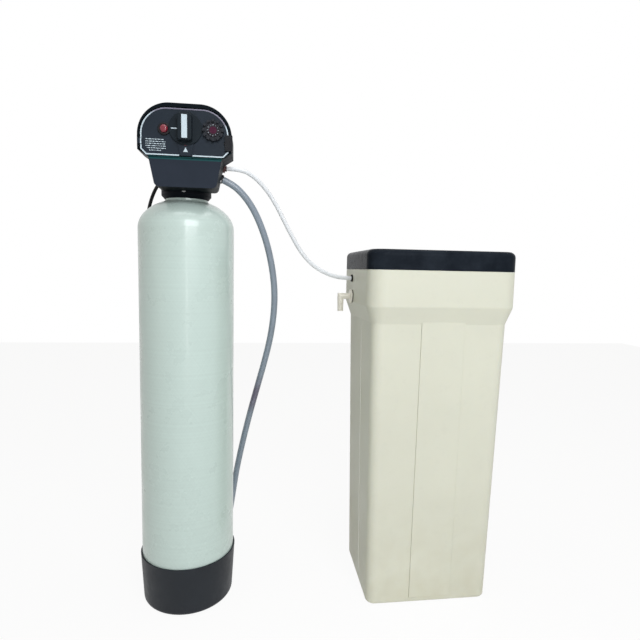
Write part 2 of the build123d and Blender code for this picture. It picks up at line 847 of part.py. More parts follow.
# Clips that hold the yoke to the valve, open at the bottom
clip_groove_y = port_face_y - port_flange_thick - gap
clip_groove = 2 * port_flange_thick + 3 * gap
with BuildPart() as yoke_clips:
    for x in (-port_x, port_x):
        with BuildSketch(front_at(clip_groove_y - clip_lip)):
            with Locations((x, port_z)):
                Circle(port_flange_r + gap + clip_thick - 0.4)
                Circle(port_r + gap, mode=Mode.SUBTRACT)
        extrude(amount=-(clip_groove + 2 * clip_lip))
        with BuildSketch(front_at(clip_groove_y)):
            with Locations((x, port_z)):
                Circle(port_flange_r + gap)
        extrude(amount=-clip_groove, mode=Mode.SUBTRACT)
    with BuildSketch(Plane.XY.offset(port_z - 6)):
        with Locations((0, port_face_y)):
            Rectangle(4 * port_x + 20, 30)
    extrude(amount=-40, mode=Mode.SUBTRACT)
save(yoke_clips.part, "yoke_clips")

# Injector body with the brine valve's barrel
brine_port = Vector(*brine_route[0])
brine_boss_x = 64.0
brine_barrel_r = 8.5
injector_x = side_face_x + injector_width
barrel_front_y = flange_y + gap
cap_screw_depth = 5.0
with BuildPart() as injector_body:
    with BuildSketch(side_at(side_face_x)):
        with Locations(((injector_front_y + injector_rear_y) / 2, injector_z)):
            RectangleRounded(injector_rear_y - injector_front_y, 2 * injector_half_h, 3)
    extrude(amount=injector_width)
    with BuildSketch(front_at(barrel_front_y)):
        with Locations((brine_stem_x, brine_port.Z)):
            Circle(brine_barrel_r)
    extrude(amount=-(injector_front_y - barrel_front_y + 2))
    with BuildSketch(side_at(brine_stem_x)):
        with Locations((brine_port.Y, brine_port.Z)):
            RectangleRounded(15, 15, 2.5)
    extrude(amount=brine_boss_x - brine_stem_x)
    with BuildSketch(front_at(barrel_front_y)):
        with Locations((brine_stem_x, brine_port.Z)):
            Circle(stem_r + running)
    extrude(amount=-(stem_rear_y + stem_travel + 2 - barrel_front_y), mode=Mode.SUBTRACT)
    with BuildSketch(side_at(injector_x)):
        with Locations((injector_rear_y - 5, injector_z), (injector_front_y + 5, injector_z)):
            Circle(screw_r + running)
    extrude(amount=-(cap_screw_depth + 1), mode=Mode.SUBTRACT)
save(injector_body.part, "injector_body")

cap_length = 5.0
with BuildPart() as injector_cap:
    with BuildSketch(side_at(injector_x)):
        with Locations(((injector_front_y + injector_rear_y) / 2, injector_z)):
            RectangleRounded(injector_rear_y - injector_front_y, 20, 4)
    extrude(amount=cap_length)
    with BuildSketch(side_at(injector_x)):
        with Locations((injector_rear_y - 5, injector_z), (injector_front_y + 5, injector_z)):
            Circle(screw_r + running)
    extrude(amount=cap_length, mode=Mode.SUBTRACT)
save(injector_cap.part, "injector_cap")

with BuildPart() as brine_valve_stem:
    with BuildSketch(front_at(stem_front_y)):
        with Locations((brine_stem_x, brine_port.Z)):
            Circle(stem_r)
    extrude(amount=-(stem_rear_y - stem_front_y))
    with BuildSketch(front_at(stem_front_y)):
        with Locations((brine_stem_x, brine_port.Z)):
            Circle(stem_head_r)
    extrude(amount=-3)
save(brine_valve_stem.part, "brine_valve_stem")

# Fitting and nut of the brine line
nut_length = 10.0
nut_x = 74.0
with BuildPart() as brine_fitting:
    with BuildSketch(side_at(brine_boss_x, brine_port.Y, brine_port.Z)):
        Circle(7.0)
        Circle(2.5, mode=Mode.SUBTRACT)
    extrude(amount=nut_x - brine_boss_x)
save(brine_fitting.part, "brine_fitting")

with BuildPart() as brine_nut:
    with BuildSketch(side_at(nut_x, brine_port.Y, brine_port.Z)):
        RegularPolygon(8.6, 6, major_radius=False)
    extrude(amount=nut_length)
    with BuildSketch(side_at(nut_x + nut_length, brine_port.Y, brine_port.Z)):
        Circle(6.2)
    extrude(amount=brine_port.X - nut_x - nut_length)
    with BuildSketch(side_at(nut_x, brine_port.Y, brine_port.Z)):
        Circle(2.5)
    extrude(amount=brine_port.X - nut_x, mode=Mode.SUBTRACT)
save(brine_nut.part, "brine_nut")

# Drain elbow, with its barb in line with the hose
barb_r = 6.2
with BuildPart() as drain_elbow:
    with BuildSketch(side_at(drain_boss_x, drain_centre.Y, drain_centre.Z)):
        Circle(7.2)
    extrude(amount=drain_centre.X - drain_boss_x)
    with Locations(drain_centre):
        Sphere(7.2)
    with BuildSketch(run_plane(drain_route, -11)):
        Circle(barb_r)
    extrude(amount=11)
save(drain_elbow.part, "drain_elbow")

# Clamp on the drain hose, with the ears that its screw pulls together
clamp_length = 12.0
clamp_plane = run_plane(drain_route, 0.5)
with BuildPart() as hose_clamp:
    with BuildSketch(clamp_plane):
        Circle(drain_hose_d / 2 + gap + 1.6)
        with Locations((0, -(drain_hose_d / 2 + 3))):
            Rectangle(7, 5)
        Circle(drain_hose_d / 2 + gap, mode=Mode.SUBTRACT)
    extrude(amount=clamp_length)
save(hose_clamp.part, "hose_clamp")

# Head cover: frame round the panel, apron below it, open at the back
frame_points = [
    (head_x - head_half_w, head_top_z), (head_x + head_half_w, head_top_z),
    (head_x + head_half_w, head_side_z), (head_x + waist_half_w, waist_z),
    (head_x - waist_half_w, waist_z), (head_x - head_half_w, head_side_z),
]
frame_radii = [head_corner_r, head_corner_r, 0, 0, 0, 0]
cavity_y = apron_y + cover_wall
collar_room = 1.5       # round the collar and its screw in the cover's hem
lug_levels = (hinge_z - knuckle_half_h - gap - lug_h, hinge_z + knuckle_half_h + gap)
with BuildPart() as valve_cover:
    extrude(head_outline(apron_y), amount=-(flange_y - apron_y))
    extrude(rounded_outline(frame_points, frame_radii, frame_y), amount=-(apron_y - frame_y))
    front_edges = valve_cover.faces().sort_by(Axis.Y)[0].edges()
    fillet(front_edges, cover_edge_r)
    extrude(head_outline(cavity_y, cover_wall), amount=-(flange_y - cavity_y), mode=Mode.SUBTRACT)
    extrude(panel_outline(frame_y, panel_gap), amount=-(cavity_y - frame_y), mode=Mode.SUBTRACT)
    with BuildSketch(Plane.XY.offset(hem_z)):
        Circle(collar_r + screw_head + collar_room)
    extrude(amount=cover_wall, mode=Mode.SUBTRACT)
    for level in lug_levels:
        with BuildSketch(Plane.XY.offset(level)):
            with Locations((hinge_x, hinge_y)):
                Circle(knuckle_r)
                Rectangle(2 * knuckle_r, frame_y + cover_edge_r - hinge_y, align=(Align.CENTER, Align.MIN))
        extrude(amount=lug_h)
        with BuildSketch(Plane.XY.offset(level)):
            with Locations((hinge_x, hinge_y)):
                Circle(hinge_pin_r + running)
        extrude(amount=lug_h, mode=Mode.SUBTRACT)
save(valve_cover.part, "valve_cover")

with BuildPart() as hinge_pin:
    with BuildSketch(Plane.XY.offset(lug_levels[0])):
        with Locations((hinge_x, hinge_y)):
            Circle(hinge_pin_r)
    extrude(amount=lug_levels[1] + lug_h - lug_levels[0])
save(hinge_pin.part, "hinge_pin")

# Back plate, bolted to the valve's front flange inside the cover's rear edge
plate_front_y = flange_y - back_plate_thick
with BuildPart() as back_plate:
    extrude(head_outline(plate_front_y, cover_wall + gap), amount=-back_plate_thick)
    with BuildSketch(front_at(plate_front_y)):
        with Locations((0, piston_z)):
            Circle(plug_flange_r + gap)
            with GridLocations(2 * plate_screw_pitch, 2 * plate_screw_pitch, 2, 2):
                Circle(screw_r + running)
        with Locations((brine_stem_x, brine_port.Z)):
            Circle(stem_r + gap)
    extrude(amount=-back_plate_thick, mode=Mode.SUBTRACT)
    with BuildSketch(run_plane(cord_route, -relief_length - relief_neck - 5)):
        Circle(relief_neck_r + running)
    extrude(amount=relief_neck + 10, mode=Mode.SUBTRACT)
    with BuildSketch(Plane.XY.offset(hem_z)):
        Circle(collar_r + gap)
    extrude(amount=collar_top_z + gap - hem_z, mode=Mode.SUBTRACT)
save(back_plate.part, "back_plate")

# Screws: back plate, injector cap and the small one in the collar
with BuildPart() as valve_screws:
    for length, plane, spots in (
        (
            back_plate_thick + plate_screw_grip, front_at(plate_front_y),
            [(x, piston_z + z) for x in (-plate_screw_pitch, plate_screw_pitch)
             for z in (-plate_screw_pitch, plate_screw_pitch)],
        ),
        (
            cap_length + cap_screw_depth, side_at(injector_x + cap_length),
            [(injector_rear_y - 5, injector_z), (injector_front_y + 5, injector_z)],
        ),
        (collar_screw_length, front_at(-collar_r), [(collar_screw_x, collar_screw_z)]),
    ):
        with BuildSketch(plane):
            with Locations(*spots):
                Circle(screw_head_r)
        extrude(amount=screw_head)
        with BuildSketch(plane):
            with Locations(*spots):
                Circle(screw_r)
        extrude(amount=-length)
save(valve_screws.part, "valve_screws")

# Strain relief of the power cord
with BuildPart() as strain_relief:
    with BuildSketch(run_plane(cord_route, -relief_length)):
        Circle(relief_r)
    with BuildSketch(run_plane(cord_route, 0)):
        Circle(relief_tip_r)
    loft()
    with BuildSketch(run_plane(cord_route, -relief_length)):
        Circle(relief_neck_r)
    extrude(amount=-relief_neck)
save(strain_relief.part, "strain_relief")

# Timer panel with the hinge's leaf and knuckle and the fixed pointer tab
panel_rear_y = panel_y + panel_thick
panel_left_x = head_x - panel_half_w
leaf_rear_y = frame_y - gap
leaf_end_x = panel_left_x + leaf_grip
with BuildPart() as timer_panel:
    extrude(panel_outline(panel_y), amount=-panel_thick)
    with BuildSketch(Plane.XY.offset(hinge_z - knuckle_half_h)):
        with Locations((hinge_x, hinge_y)):
            Circle(knuckle_r)
        with Locations((hinge_x, leaf_rear_y)):
            Rectangle(leaf_end_x - hinge_x, leaf_thick, align=(Align.MIN, Align.MAX))
        with Locations((panel_left_x, panel_y)):
            Rectangle(leaf_grip, panel_y - leaf_rear_y + leaf_thick, align=(Align.MIN, Align.MAX))
    extrude(amount=2 * knuckle_half_h)
    with BuildSketch(Plane.XY.offset(hinge_z - knuckle_half_h)):
        with Locations((hinge_x, hinge_y)):
            Circle(hinge_pin_r + running)
    extrude(amount=2 * knuckle_half_h, mode=Mode.SUBTRACT)
    tab_top_z = knob_z - sqrt((skirt_r + gap) ** 2 - tab_top_half_w ** 2)
    tab_points = [
        (knob_x - tab_top_half_w, tab_top_z), (knob_x + tab_top_half_w, tab_top_z),
        (knob_x + tab_foot_half_w, panel_foot_z + tab_foot_gap),
        (knob_x - tab_foot_half_w, panel_foot_z + tab_foot_gap),
    ]
    extrude(rounded_outline(tab_points, [0, 0, 3, 3], panel_y), amount=tab_proud)
    with BuildSketch(front_at(panel_y)):
        with Locations((knob_x, knob_z)):
            Circle(skirt_r + gap)
    extrude(amount=tab_proud, mode=Mode.SUBTRACT)
    with BuildSketch(front_at(panel_y)):
        with Locations((knob_x, knob_z)):
            Circle(knob_shaft_r + running)
        with Locations((button_x, button_z)):
            Circle(button_r + gap)
        with Locations((dial_x, dial_z)):
            Circle(dial_shaft_r + running)
        with Locations((latch_inner_x + (latch_key - latch_travel) / 2, latch_z)):
            Rectangle(latch_key + latch_travel + 2 * gap, latch_key_h + 2 * gap)
    extrude(amount=-panel_thick, mode=Mode.SUBTRACT)
save(timer_panel.part, "timer_panel")

# Raised pale border line round the panel, broken by the pointer tab, the latch and the hinge's leaf
with BuildPart() as panel_border:
    extrude(panel_outline(panel_y, -border_inset), amount=border_proud)
    extrude(panel_outline(panel_y, -border_inset - border_width), amount=border_proud, mode=Mode.SUBTRACT)
    with BuildSketch(front_at(panel_y)):
        with Locations((knob_x, panel_foot_z)):
            Rectangle(2 * tab_foot_half_w + border_gap, 12)
        with Locations((latch_outer_x, latch_z)):
            Rectangle(24, 2 * latch_half_h + 2)
        with Locations((panel_left_x, hinge_z)):
            Rectangle(2 * (leaf_grip + gap), 2 * (knuckle_half_h + gap))
    extrude(amount=border_proud, mode=Mode.SUBTRACT)
save(panel_border.part, "panel_border")

# Gear housing behind the panel
housing_depth = housing_rear_y - panel_rear_y
pinion_distance = (gear_teeth + pinion_teeth) * tooth_module / 2
pinion_x = knob_x + pinion_distance * cos(radians(pinion_angle))
pinion_z = knob_z + pinion_distance * sin(radians(pinion_angle))
with BuildPart() as timer_housing:
    extrude(panel_outline(panel_rear_y, -housing_inset), amount=-housing_depth)
    extrude(
        panel_outline(panel_rear_y, -housing_inset - housing_wall), amount=-(housing_depth - housing_wall),
        mode=Mode.SUBTRACT,
    )
    with BuildSketch(front_at(housing_rear_y)):
        with Locations((knob_x, knob_z)):
            Circle(knob_shaft_r + running)
        with Locations((pinion_x, pinion_z)):
            Circle(pinion_shaft_r + running)
    extrude(amount=housing_wall, mode=Mode.SUBTRACT)
save(timer_housing.part, "timer_housing")

with BuildPart() as timer_motor:
    with BuildSketch(front_at(housing_rear_y)):
        with Locations((pinion_x, pinion_z)):
            Circle(motor_r)
    extrude(amount=-motor_depth)
    fillet(timer_motor.edges().filter_by(GeomType.CIRCLE).sort_by(Axis.Y)[-1], 2)
    with BuildSketch(front_at(housing_rear_y)):
        with Locations((pinion_x, pinion_z)):
            Circle(pinion_shaft_r + running)
    extrude(amount=-7, mode=Mode.SUBTRACT)
save(timer_motor.part, "timer_motor")

# Control knob: skirt, grip and shaft
skirt_y = panel_y - border_proud - gap
grip_y = skirt_y - skirt_thick - grip_proud
with BuildPart() as control_knob:
    with BuildSketch(front_at(skirt_y)):
        with Locations((knob_x, knob_z)):
            Circle(skirt_r)
    extrude(amount=skirt_thick)
    fillet(control_knob.edges().filter_by(GeomType.CIRCLE).sort_by(Axis.Y)[0], 1)
    with BuildSketch(front_at(skirt_y - skirt_thick)) as grip_foot:
        with Locations((knob_x, knob_z)):
            RectangleRounded(grip_w, grip_h, 5)
    with BuildSketch(front_at(grip_y)) as grip_face:
        with Locations((knob_x, knob_z)):
            RectangleRounded(grip_w - 2, grip_h - 2, 4)
    loft()
    fillet(control_knob.faces().sort_by(Axis.Y)[0].edges(), 1.2)
    with BuildSketch(front_at(grip_y)):
        with Locations((knob_x, knob_z)):
            Rectangle(insert_w, insert_h)
    extrude(amount=-(insert_thick - insert_proud), mode=Mode.SUBTRACT)
    with BuildSketch(front_at(skirt_y)):
        with Locations((knob_x, knob_z)):
            Circle(knob_shaft_r)
    extrude(amount=-(housing_rear_y - skirt_y))
save(control_knob.part, "control_knob")

with BuildPart() as knob_insert:
    with BuildSketch(front_at(grip_y + insert_thick - insert_proud)):
        with Locations((knob_x, knob_z)):
            RectangleRounded(insert_w, insert_h, 0.8)
    extrude(amount=insert_thick)
save(knob_insert.part, "knob_insert")

gear_plane = Plane(origin=(knob_x, gear_y, knob_z), x_dir=(1, 0, 0), z_dir=(0, -1, 0))
save(gear_part(gear_teeth, gear_plane, gear_thick, knob_shaft_r + running), "main_gear")

# Motor pinion with its shaft; a gap between its teeth faces the main gear's tooth
pinion_plane = Plane(origin=(pinion_x, gear_y, pinion_z), x_dir=(1, 0, 0), z_dir=(0, -1, 0))
pinion_phase = pinion_angle - 180 + 180 / pinion_teeth
with BuildPart() as motor_pinion:
    add(gear_part(pinion_teeth, pinion_plane, gear_thick, 0, pinion_phase))
    with BuildSketch(pinion_plane):
        Circle(pinion_shaft_r)
    extrude(amount=-(housing_rear_y + 6 - gear_y))
save(motor_pinion.part, "motor_pinion")

# Time-set button in its bezel
with BuildPart() as button_bezel:
    with BuildSketch(front_at(panel_y)):
        with Locations((button_x, button_z)):
            Circle(bezel_r)
            Circle(button_r + gap, mode=Mode.SUBTRACT)
    extrude(amount=bezel_proud)
    fillet(button_bezel.faces().sort_by(Axis.Y)[0].outer_wire().edges(), 1.5)
    with BuildSketch(front_at(panel_y)):
        with Locations((knob_x, knob_z)):
            Circle(skirt_r + gap)
    extrude(amount=bezel_proud, mode=Mode.SUBTRACT)
save(button_bezel.part, "button_bezel")

with BuildPart() as time_set_button:
    with BuildSketch(front_at(panel_y + button_tail)):
        with Locations((button_x, button_z)):
            Circle(button_r)
    extrude(amount=button_tail + button_proud)
    fillet(time_set_button.edges().filter_by(GeomType.CIRCLE).sort_by(Axis.Y)[0], 4.5)
save(time_set_button.part, "time_set_button")

face_y = panel_y - gap

# Program dial: disc with day pins round its rim, shaft through the panel
with BuildPart() as program_dial:
    with BuildSketch(front_at(face_y)):
        with Locations((dial_x, dial_z)):
            Circle(dial_r - 1.5)
    extrude(amount=dial_thick)
    with BuildSketch(front_at(face_y)):
        with Locations((dial_x, dial_z)):
            with PolarLocations(dial_r - 2.5, dial_pins):
                Rectangle(5, 5.2)
    extrude(amount=dial_thick + dial_pin_proud)
    with BuildSketch(front_at(face_y)):
        with Locations((dial_x, dial_z)):
            Circle(dial_shaft_r)
    extrude(amount=-11)
save(program_dial.part, "program_dial")

with BuildPart() as dial_hub:
    with BuildSketch(front_at(face_y - dial_thick)):
        with Locations((dial_x, dial_z)):
            Circle(dial_hub_r)
    extrude(amount=dial_hub_proud)
    fillet(dial_hub.edges().filter_by(GeomType.CIRCLE).sort_by(Axis.Y)[0], 0.8)
save(dial_hub.part, "dial_hub")

# Latch that the panel is pulled open by: it slides inwards
frame_front_y = frame_y - gap
with BuildPart() as panel_latch:
    with BuildSketch(front_at(face_y)):
        with Locations(((latch_inner_x + head_x + panel_half_w) / 2, latch_z)):
            Rectangle(head_x + panel_half_w - latch_inner_x, 2 * latch_half_h)
    extrude(amount=latch_proud)
    with BuildSketch(front_at(frame_front_y)):
        with Locations(((head_x + panel_half_w - 2 + latch_outer_x) / 2, latch_z)):
            Rectangle(latch_outer_x - head_x - panel_half_w + 2, 2 * latch_half_h)
    extrude(amount=latch_proud - gap - (panel_y - frame_y) + gap)
    fillet(panel_latch.edges().filter_by(Axis.Y), 1.2)
    with BuildSketch(front_at(face_y)):
        with Locations((latch_inner_x + latch_key / 2, latch_z)):
            Rectangle(latch_key, latch_key_h)
    extrude(amount=-panel_thick)
save(panel_latch.part, "panel_latch")

# Crank and its bracket, between the back plate and the timer; the pin ends clear of the rod
crank_y = eye_y
disc_x = bracket_x + bracket_thick + 1
with BuildPart() as drive_crank:
    with BuildSketch(side_at(crank_x, crank_y, piston_z)):
        Circle(crank_r)
    extrude(amount=crank_thick)
    with BuildSketch(side_at(crank_x, crank_y, piston_z)):
        with Locations((0, crank_throw)):
            Circle(crank_pin_r)
    extrude(amount=-(crank_x - rod_r - gap))
    with BuildSketch(side_at(crank_x, crank_y, piston_z)):
        Circle(crank_shaft_r)
    extrude(amount=disc_x - crank_x)
    with BuildSketch(side_at(disc_x, crank_y, piston_z)):
        Circle(drive_disc_r)
    extrude(amount=drive_disc_thick)
save(drive_crank.part, "drive_crank")

with BuildPart() as drive_bracket:
    with BuildSketch(side_at(bracket_x)):
        with Locations(((crank_y - bracket_reach + plate_front_y) / 2, piston_z)):
            RectangleRounded(plate_front_y - crank_y + bracket_reach, bracket_h, 4)
    extrude(amount=bracket_thick)
    with BuildSketch(front_at(plate_front_y)):
        with Locations((bracket_x + bracket_foot / 2, piston_z)):
            Rectangle(bracket_foot, bracket_foot_h)
    extrude(amount=bracket_thick)
    with BuildSketch(side_at(bracket_x, crank_y, piston_z)):
        Circle(crank_shaft_r + running)
    extrude(amount=bracket_thick, mode=Mode.SUBTRACT)
save(drive_bracket.part, "drive_bracket")


def brine_section(z, width, depth, corner):
    """A rounded rectangle across the brine tank at a height."""
    with BuildSketch(Plane((brine_x, brine_y, z))) as section:
        RectangleRounded(width, depth, corner)
    return section.sketch


def body_size(z):
    """Width and depth of the brine tank's tapered body at a height."""
    share = z / body_top
    return base_w + (body_w - base_w) * share, base_d + (body_d - base_d) * share


# Brine tank: tapered body, stepped rim and the lip that the lid fits over
lip_inset = lid_wall + gap + 0.5
lip_w, lip_d, lip_corner = rim_w - 2 * lip_inset, rim_d - 2 * lip_inset, rim_corner - lip_inset
inner_floor_w, inner_floor_d = body_size(brine_wall)
inner_corner = body_corner - brine_wall
with BuildPart() as brine_tank:
    loft(
        [brine_section(0, base_w, base_d, base_corner), brine_section(body_top, body_w, body_d, body_corner)],
        ruled=True,
    )
    fillet(brine_tank.faces().sort_by(Axis.Z)[0].edges(), base_edge_r)
    loft(
        [brine_section(body_top, body_w, body_d, body_corner), brine_section(rim_foot, rim_w, rim_d, rim_corner)],
        ruled=True,
    )
    extrude(brine_section(rim_foot, rim_w, rim_d, rim_corner), amount=lid_foot - gap - rim_foot)
    extrude(brine_section(rim_foot, lip_w, lip_d, lip_corner), amount=lip_top - rim_foot)
    for level, radius in ((rim_foot, rim_edge_r), (body_top, step_edge_r)):
        fillet(brine_tank.edges().filter_by_position(Axis.Z, level - gap, level + gap), radius)
    # Raised middle panel on the front
    foot_depth, top_depth = body_size(front_panel_foot)[1], body_size(front_panel_top)[1]
    with BuildSketch(Plane((front_panel_x, brine_y, front_panel_foot))):
        with Locations((0, -foot_depth / 2)):
            Rectangle(front_panel_w, 2 * front_panel_proud)
    with BuildSketch(Plane((front_panel_x, brine_y, front_panel_top))):
        with Locations((0, -top_depth / 2)):
            Rectangle(front_panel_w, 2 * front_panel_proud)
    loft(ruled=True)
    # Hollow
    loft(
        [
            brine_section(
                brine_wall, inner_floor_w - 2 * brine_wall, inner_floor_d - 2 * brine_wall, inner_corner
            ),
            brine_section(body_top, body_w - 2 * brine_wall, body_d - 2 * brine_wall, inner_corner),
        ],
        ruled=True, mode=Mode.SUBTRACT,
    )
    inner_rim = (rim_w - 2 * brine_wall, rim_d - 2 * brine_wall, rim_corner - brine_wall)
    loft(
        [
            brine_section(body_top, body_w - 2 * brine_wall, body_d - 2 * brine_wall, inner_corner),
            brine_section(rim_foot, *inner_rim),
        ],
        ruled=True, mode=Mode.SUBTRACT,
    )
    extrude(brine_section(rim_foot, *inner_rim), amount=lid_foot - 3 - rim_foot, mode=Mode.SUBTRACT)
    extrude(
        brine_section(rim_foot, lip_w - 2 * lip_wall, lip_d - 2 * lip_wall, lip_corner - lip_wall),
        amount=lip_top - rim_foot, mode=Mode.SUBTRACT,
    )
    # Flat boss for the overflow, and holes for it and for the brine line
    with BuildSketch(side_at(wall_x, overflow_y, overflow_z)):
        Circle(overflow_boss_r)
    extrude(amount=brine_wall + overflow_boss)
    with BuildSketch(side_at(wall_x - 1)):
        with Locations((line_y, line_z)):
            Circle(grommet_neck_r + running)
        with Locations((overflow_y, overflow_z)):
            Circle(overflow_shank_r + running)
    extrude(amount=brine_wall + overflow_boss + 2, mode=Mode.SUBTRACT)
save(brine_tank.part, "brine_tank")

# Lid, a cap over the lip with a rounded upper edge
with BuildPart() as brine_lid:
    extrude(brine_section(lid_foot, rim_w, rim_d, rim_corner), amount=lid_top - lid_foot)
    fillet(brine_lid.faces().sort_by(Axis.Z)[-1].edges(), lid_edge_r)
    extrude(
        brine_section(lid_foot, rim_w - 2 * lid_wall, rim_d - 2 * lid_wall, rim_corner - lid_wall),
        amount=lip_top + 2 - lid_foot, mode=Mode.SUBTRACT,
    )
    extrude(
        brine_section(lid_foot, *(size - 2 * lid_edge_r - lid_wall for size in (rim_w, rim_d)), rim_corner - 11),
        amount=lid_top - lid_wall - lid_foot, mode=Mode.SUBTRACT,
    )
save(brine_lid.part, "brine_lid")

# Salt grid on its four legs, with a hole for the brine well
grid_w, grid_d = (size - 2 * brine_wall - 2 * gap for size in body_size(grid_z))
leg_x, leg_y = base_w / 2 - leg_inset, base_d / 2 - leg_inset
leg_spots = [
    (brine_x + leg_x, brine_y + leg_y), (brine_x + leg_x, brine_y - leg_y), (brine_x - leg_x, brine_y - leg_y),
    (well_x + well_r + 2 * leg_r, brine_y + leg_y),
]
hole_spots = [
    (brine_x + (column - 4) * grid_pitch, brine_y + (row - 3) * grid_pitch)
    for column in range(9) for row in range(7)
]
clear_spots = [
    spot for spot in hole_spots
    if hypot(spot[0] - well_x, spot[1] - well_y) > well_r + grid_hole_r + 5
    and all(hypot(spot[0] - x, spot[1] - y) > leg_r + grid_hole_r + 1 for x, y in leg_spots)
]
with BuildPart() as salt_grid:
    extrude(brine_section(grid_z, grid_w, grid_d, inner_corner), amount=grid_thick)
    with BuildSketch(Plane.XY.offset(grid_z)):
        with Locations((well_x, well_y)):
            Circle(well_r + 1)
        with Locations(*clear_spots):
            Circle(grid_hole_r)
    extrude(amount=grid_thick, mode=Mode.SUBTRACT)
    with BuildSketch(Plane.XY.offset(grid_z)):
        with Locations(*leg_spots):
            Circle(leg_r)
            Circle(leg_r - leg_wall, mode=Mode.SUBTRACT)
    extrude(amount=-(grid_z - brine_wall))
save(salt_grid.part, "salt_grid")

# Brine well with slots at its foot, and its cap
with BuildPart() as brine_well:
    add(ring_part(well_r, well_r - well_wall, well_top_z - brine_wall, Plane((well_x, well_y, brine_wall))))
    with BuildSketch(Plane((well_x, well_y, brine_wall + well_slot_z))):
        with PolarLocations(well_r, 8):
            Rectangle(4 * well_wall, well_slot_w)
    extrude(amount=well_slot_h, mode=Mode.SUBTRACT)
    with BuildSketch(side_at(well_x - well_r - 2)):
        with Locations((line_y, line_z - 9)):
            SlotOverall(line_slot_h, brine_tube_d + 2, rotation=90)
    extrude(amount=20, mode=Mode.SUBTRACT)
save(brine_well.part, "brine_well")

with BuildPart() as well_cap:
    with BuildSketch(Plane((well_x, well_y, well_top_z - cap_skirt))):
        Circle(well_r + gap + cap_wall)
    extrude(amount=cap_skirt + cap_thick)
    with BuildSketch(Plane((well_x, well_y, well_top_z - cap_skirt))):
        Circle(well_r + gap)
    extrude(amount=cap_skirt, mode=Mode.SUBTRACT)
save(well_cap.part, "well_cap")

# Pickup valve at the foot of the well, the float's rod and the float
with BuildPart() as air_check:
    with BuildSketch(Plane((pickup_x, pickup_y, brine_wall))):
        Circle(pickup_r)
    extrude(amount=pickup_top - brine_wall)
    with BuildSketch(Plane.XY.offset(arm_z)):
        with BuildLine():
            Line((pickup_x, pickup_y), (rod_x, rod_y))
        trace(line_width=arm_w)
        with Locations((rod_x, rod_y)):
            Circle(arm_eye_r)
    extrude(amount=arm_h)
    with BuildSketch(Plane((rod_x, rod_y, arm_z + arm_h))):
        Circle(float_rod_r + running)
    extrude(amount=-arm_h, mode=Mode.SUBTRACT)
save(air_check.part, "air_check")

with BuildPart() as float_rod:
    with BuildSketch(Plane((rod_x, rod_y, arm_z))):
        Circle(float_rod_r)
    extrude(amount=float_rod_top - arm_z)
    for level in (float_rest_z - stop_thick, float_rest_z + float_h + float_lift):
        with BuildSketch(Plane((rod_x, rod_y, level))):
            Circle(stop_r)
        extrude(amount=stop_thick)
save(float_rod.part, "float_rod")

with BuildPart() as float_part:
    with BuildSketch(Plane((rod_x, rod_y, float_rest_z))):
        Circle(float_r)
        Circle(float_rod_r + gap, mode=Mode.SUBTRACT)
    extrude(amount=float_h)
    fillet(float_part.faces().sort_by(Axis.Z)[-1].outer_wire().edges(), 4)
save(float_part.part, "float")

# Grommet and the line's inner stretch down to the pickup valve
with BuildPart() as line_grommet:
    with BuildSketch(side_at(wall_x - grommet_flange, line_y, line_z)):
        Circle(grommet_r)
    extrude(amount=grommet_flange)
    with BuildSketch(side_at(wall_x, line_y, line_z)):
        Circle(grommet_neck_r)
    extrude(amount=brine_wall + 2)
    with BuildSketch(side_at(wall_x - grommet_flange, line_y, line_z)):
        Circle(brine_tube_d / 2 + running)
    extrude(amount=grommet_flange + brine_wall + 2, mode=Mode.SUBTRACT)
save(line_grommet.part, "line_grommet")

inner_bend = 32.0
inner_route = [
    (brine_route[-1][0] + gap, line_y, line_z), (pickup_x - inner_bend, line_y, line_z),
    (pickup_x, line_y, line_z - inner_bend), (pickup_x, pickup_y, pickup_top + gap),
]
inner_path = cord_path(inner_route, brine_tube_d, "inner brine tube")
save(tube_along(inner_path, brine_tube_d, "inner brine tube"), "inner_brine_tube")

# Overflow elbow with its gasket and nut
overflow_shank = gasket_thick + brine_wall + overflow_boss + overflow_nut_thick + 2
with BuildPart() as overflow_elbow:
    with BuildSketch(side_at(wall_x - gasket_thick, overflow_y, overflow_z)):
        Circle(overflow_flange_r)
    extrude(amount=-overflow_flange)
    with BuildSketch(side_at(wall_x - gasket_thick, overflow_y, overflow_z)):
        Circle(overflow_shank_r)
    extrude(amount=overflow_shank)
    elbow_x = wall_x - gasket_thick - overflow_flange - overflow_reach
    with BuildLine() as arm_line:
        Polyline(
            (wall_x - gasket_thick - overflow_flange / 2, overflow_y, overflow_z), (elbow_x, overflow_y, overflow_z),
            (elbow_x, overflow_y, overflow_z - overflow_drop + overflow_spigot),
        )
    with BuildSketch(Plane(origin=arm_line.line @ 0, z_dir=(-1, 0, 0))):
        Circle(overflow_arm_r)
    sweep(path=arm_line.line, transition=Transition.RIGHT)
    with BuildSketch(Plane((elbow_x, overflow_y, overflow_z - overflow_drop))):
        Circle(overflow_spigot_r)
    extrude(amount=overflow_spigot)
    with BuildSketch(Plane((elbow_x, overflow_y, overflow_z - overflow_drop))):
        Circle(overflow_bore_r)
    extrude(amount=overflow_drop, mode=Mode.SUBTRACT)
    with BuildSketch(side_at(elbow_x, overflow_y, overflow_z)):
        Circle(overflow_bore_r)
    extrude(amount=overflow_reach + overflow_flange, mode=Mode.SUBTRACT)
    with BuildSketch(side_at(wall_x - gasket_thick - overflow_flange / 2, overflow_y, overflow_z)):
        Circle(overflow_bore_r)
    extrude(amount=overflow_flange + overflow_shank, mode=Mode.SUBTRACT)
save(overflow_elbow.part, "overflow_elbow")

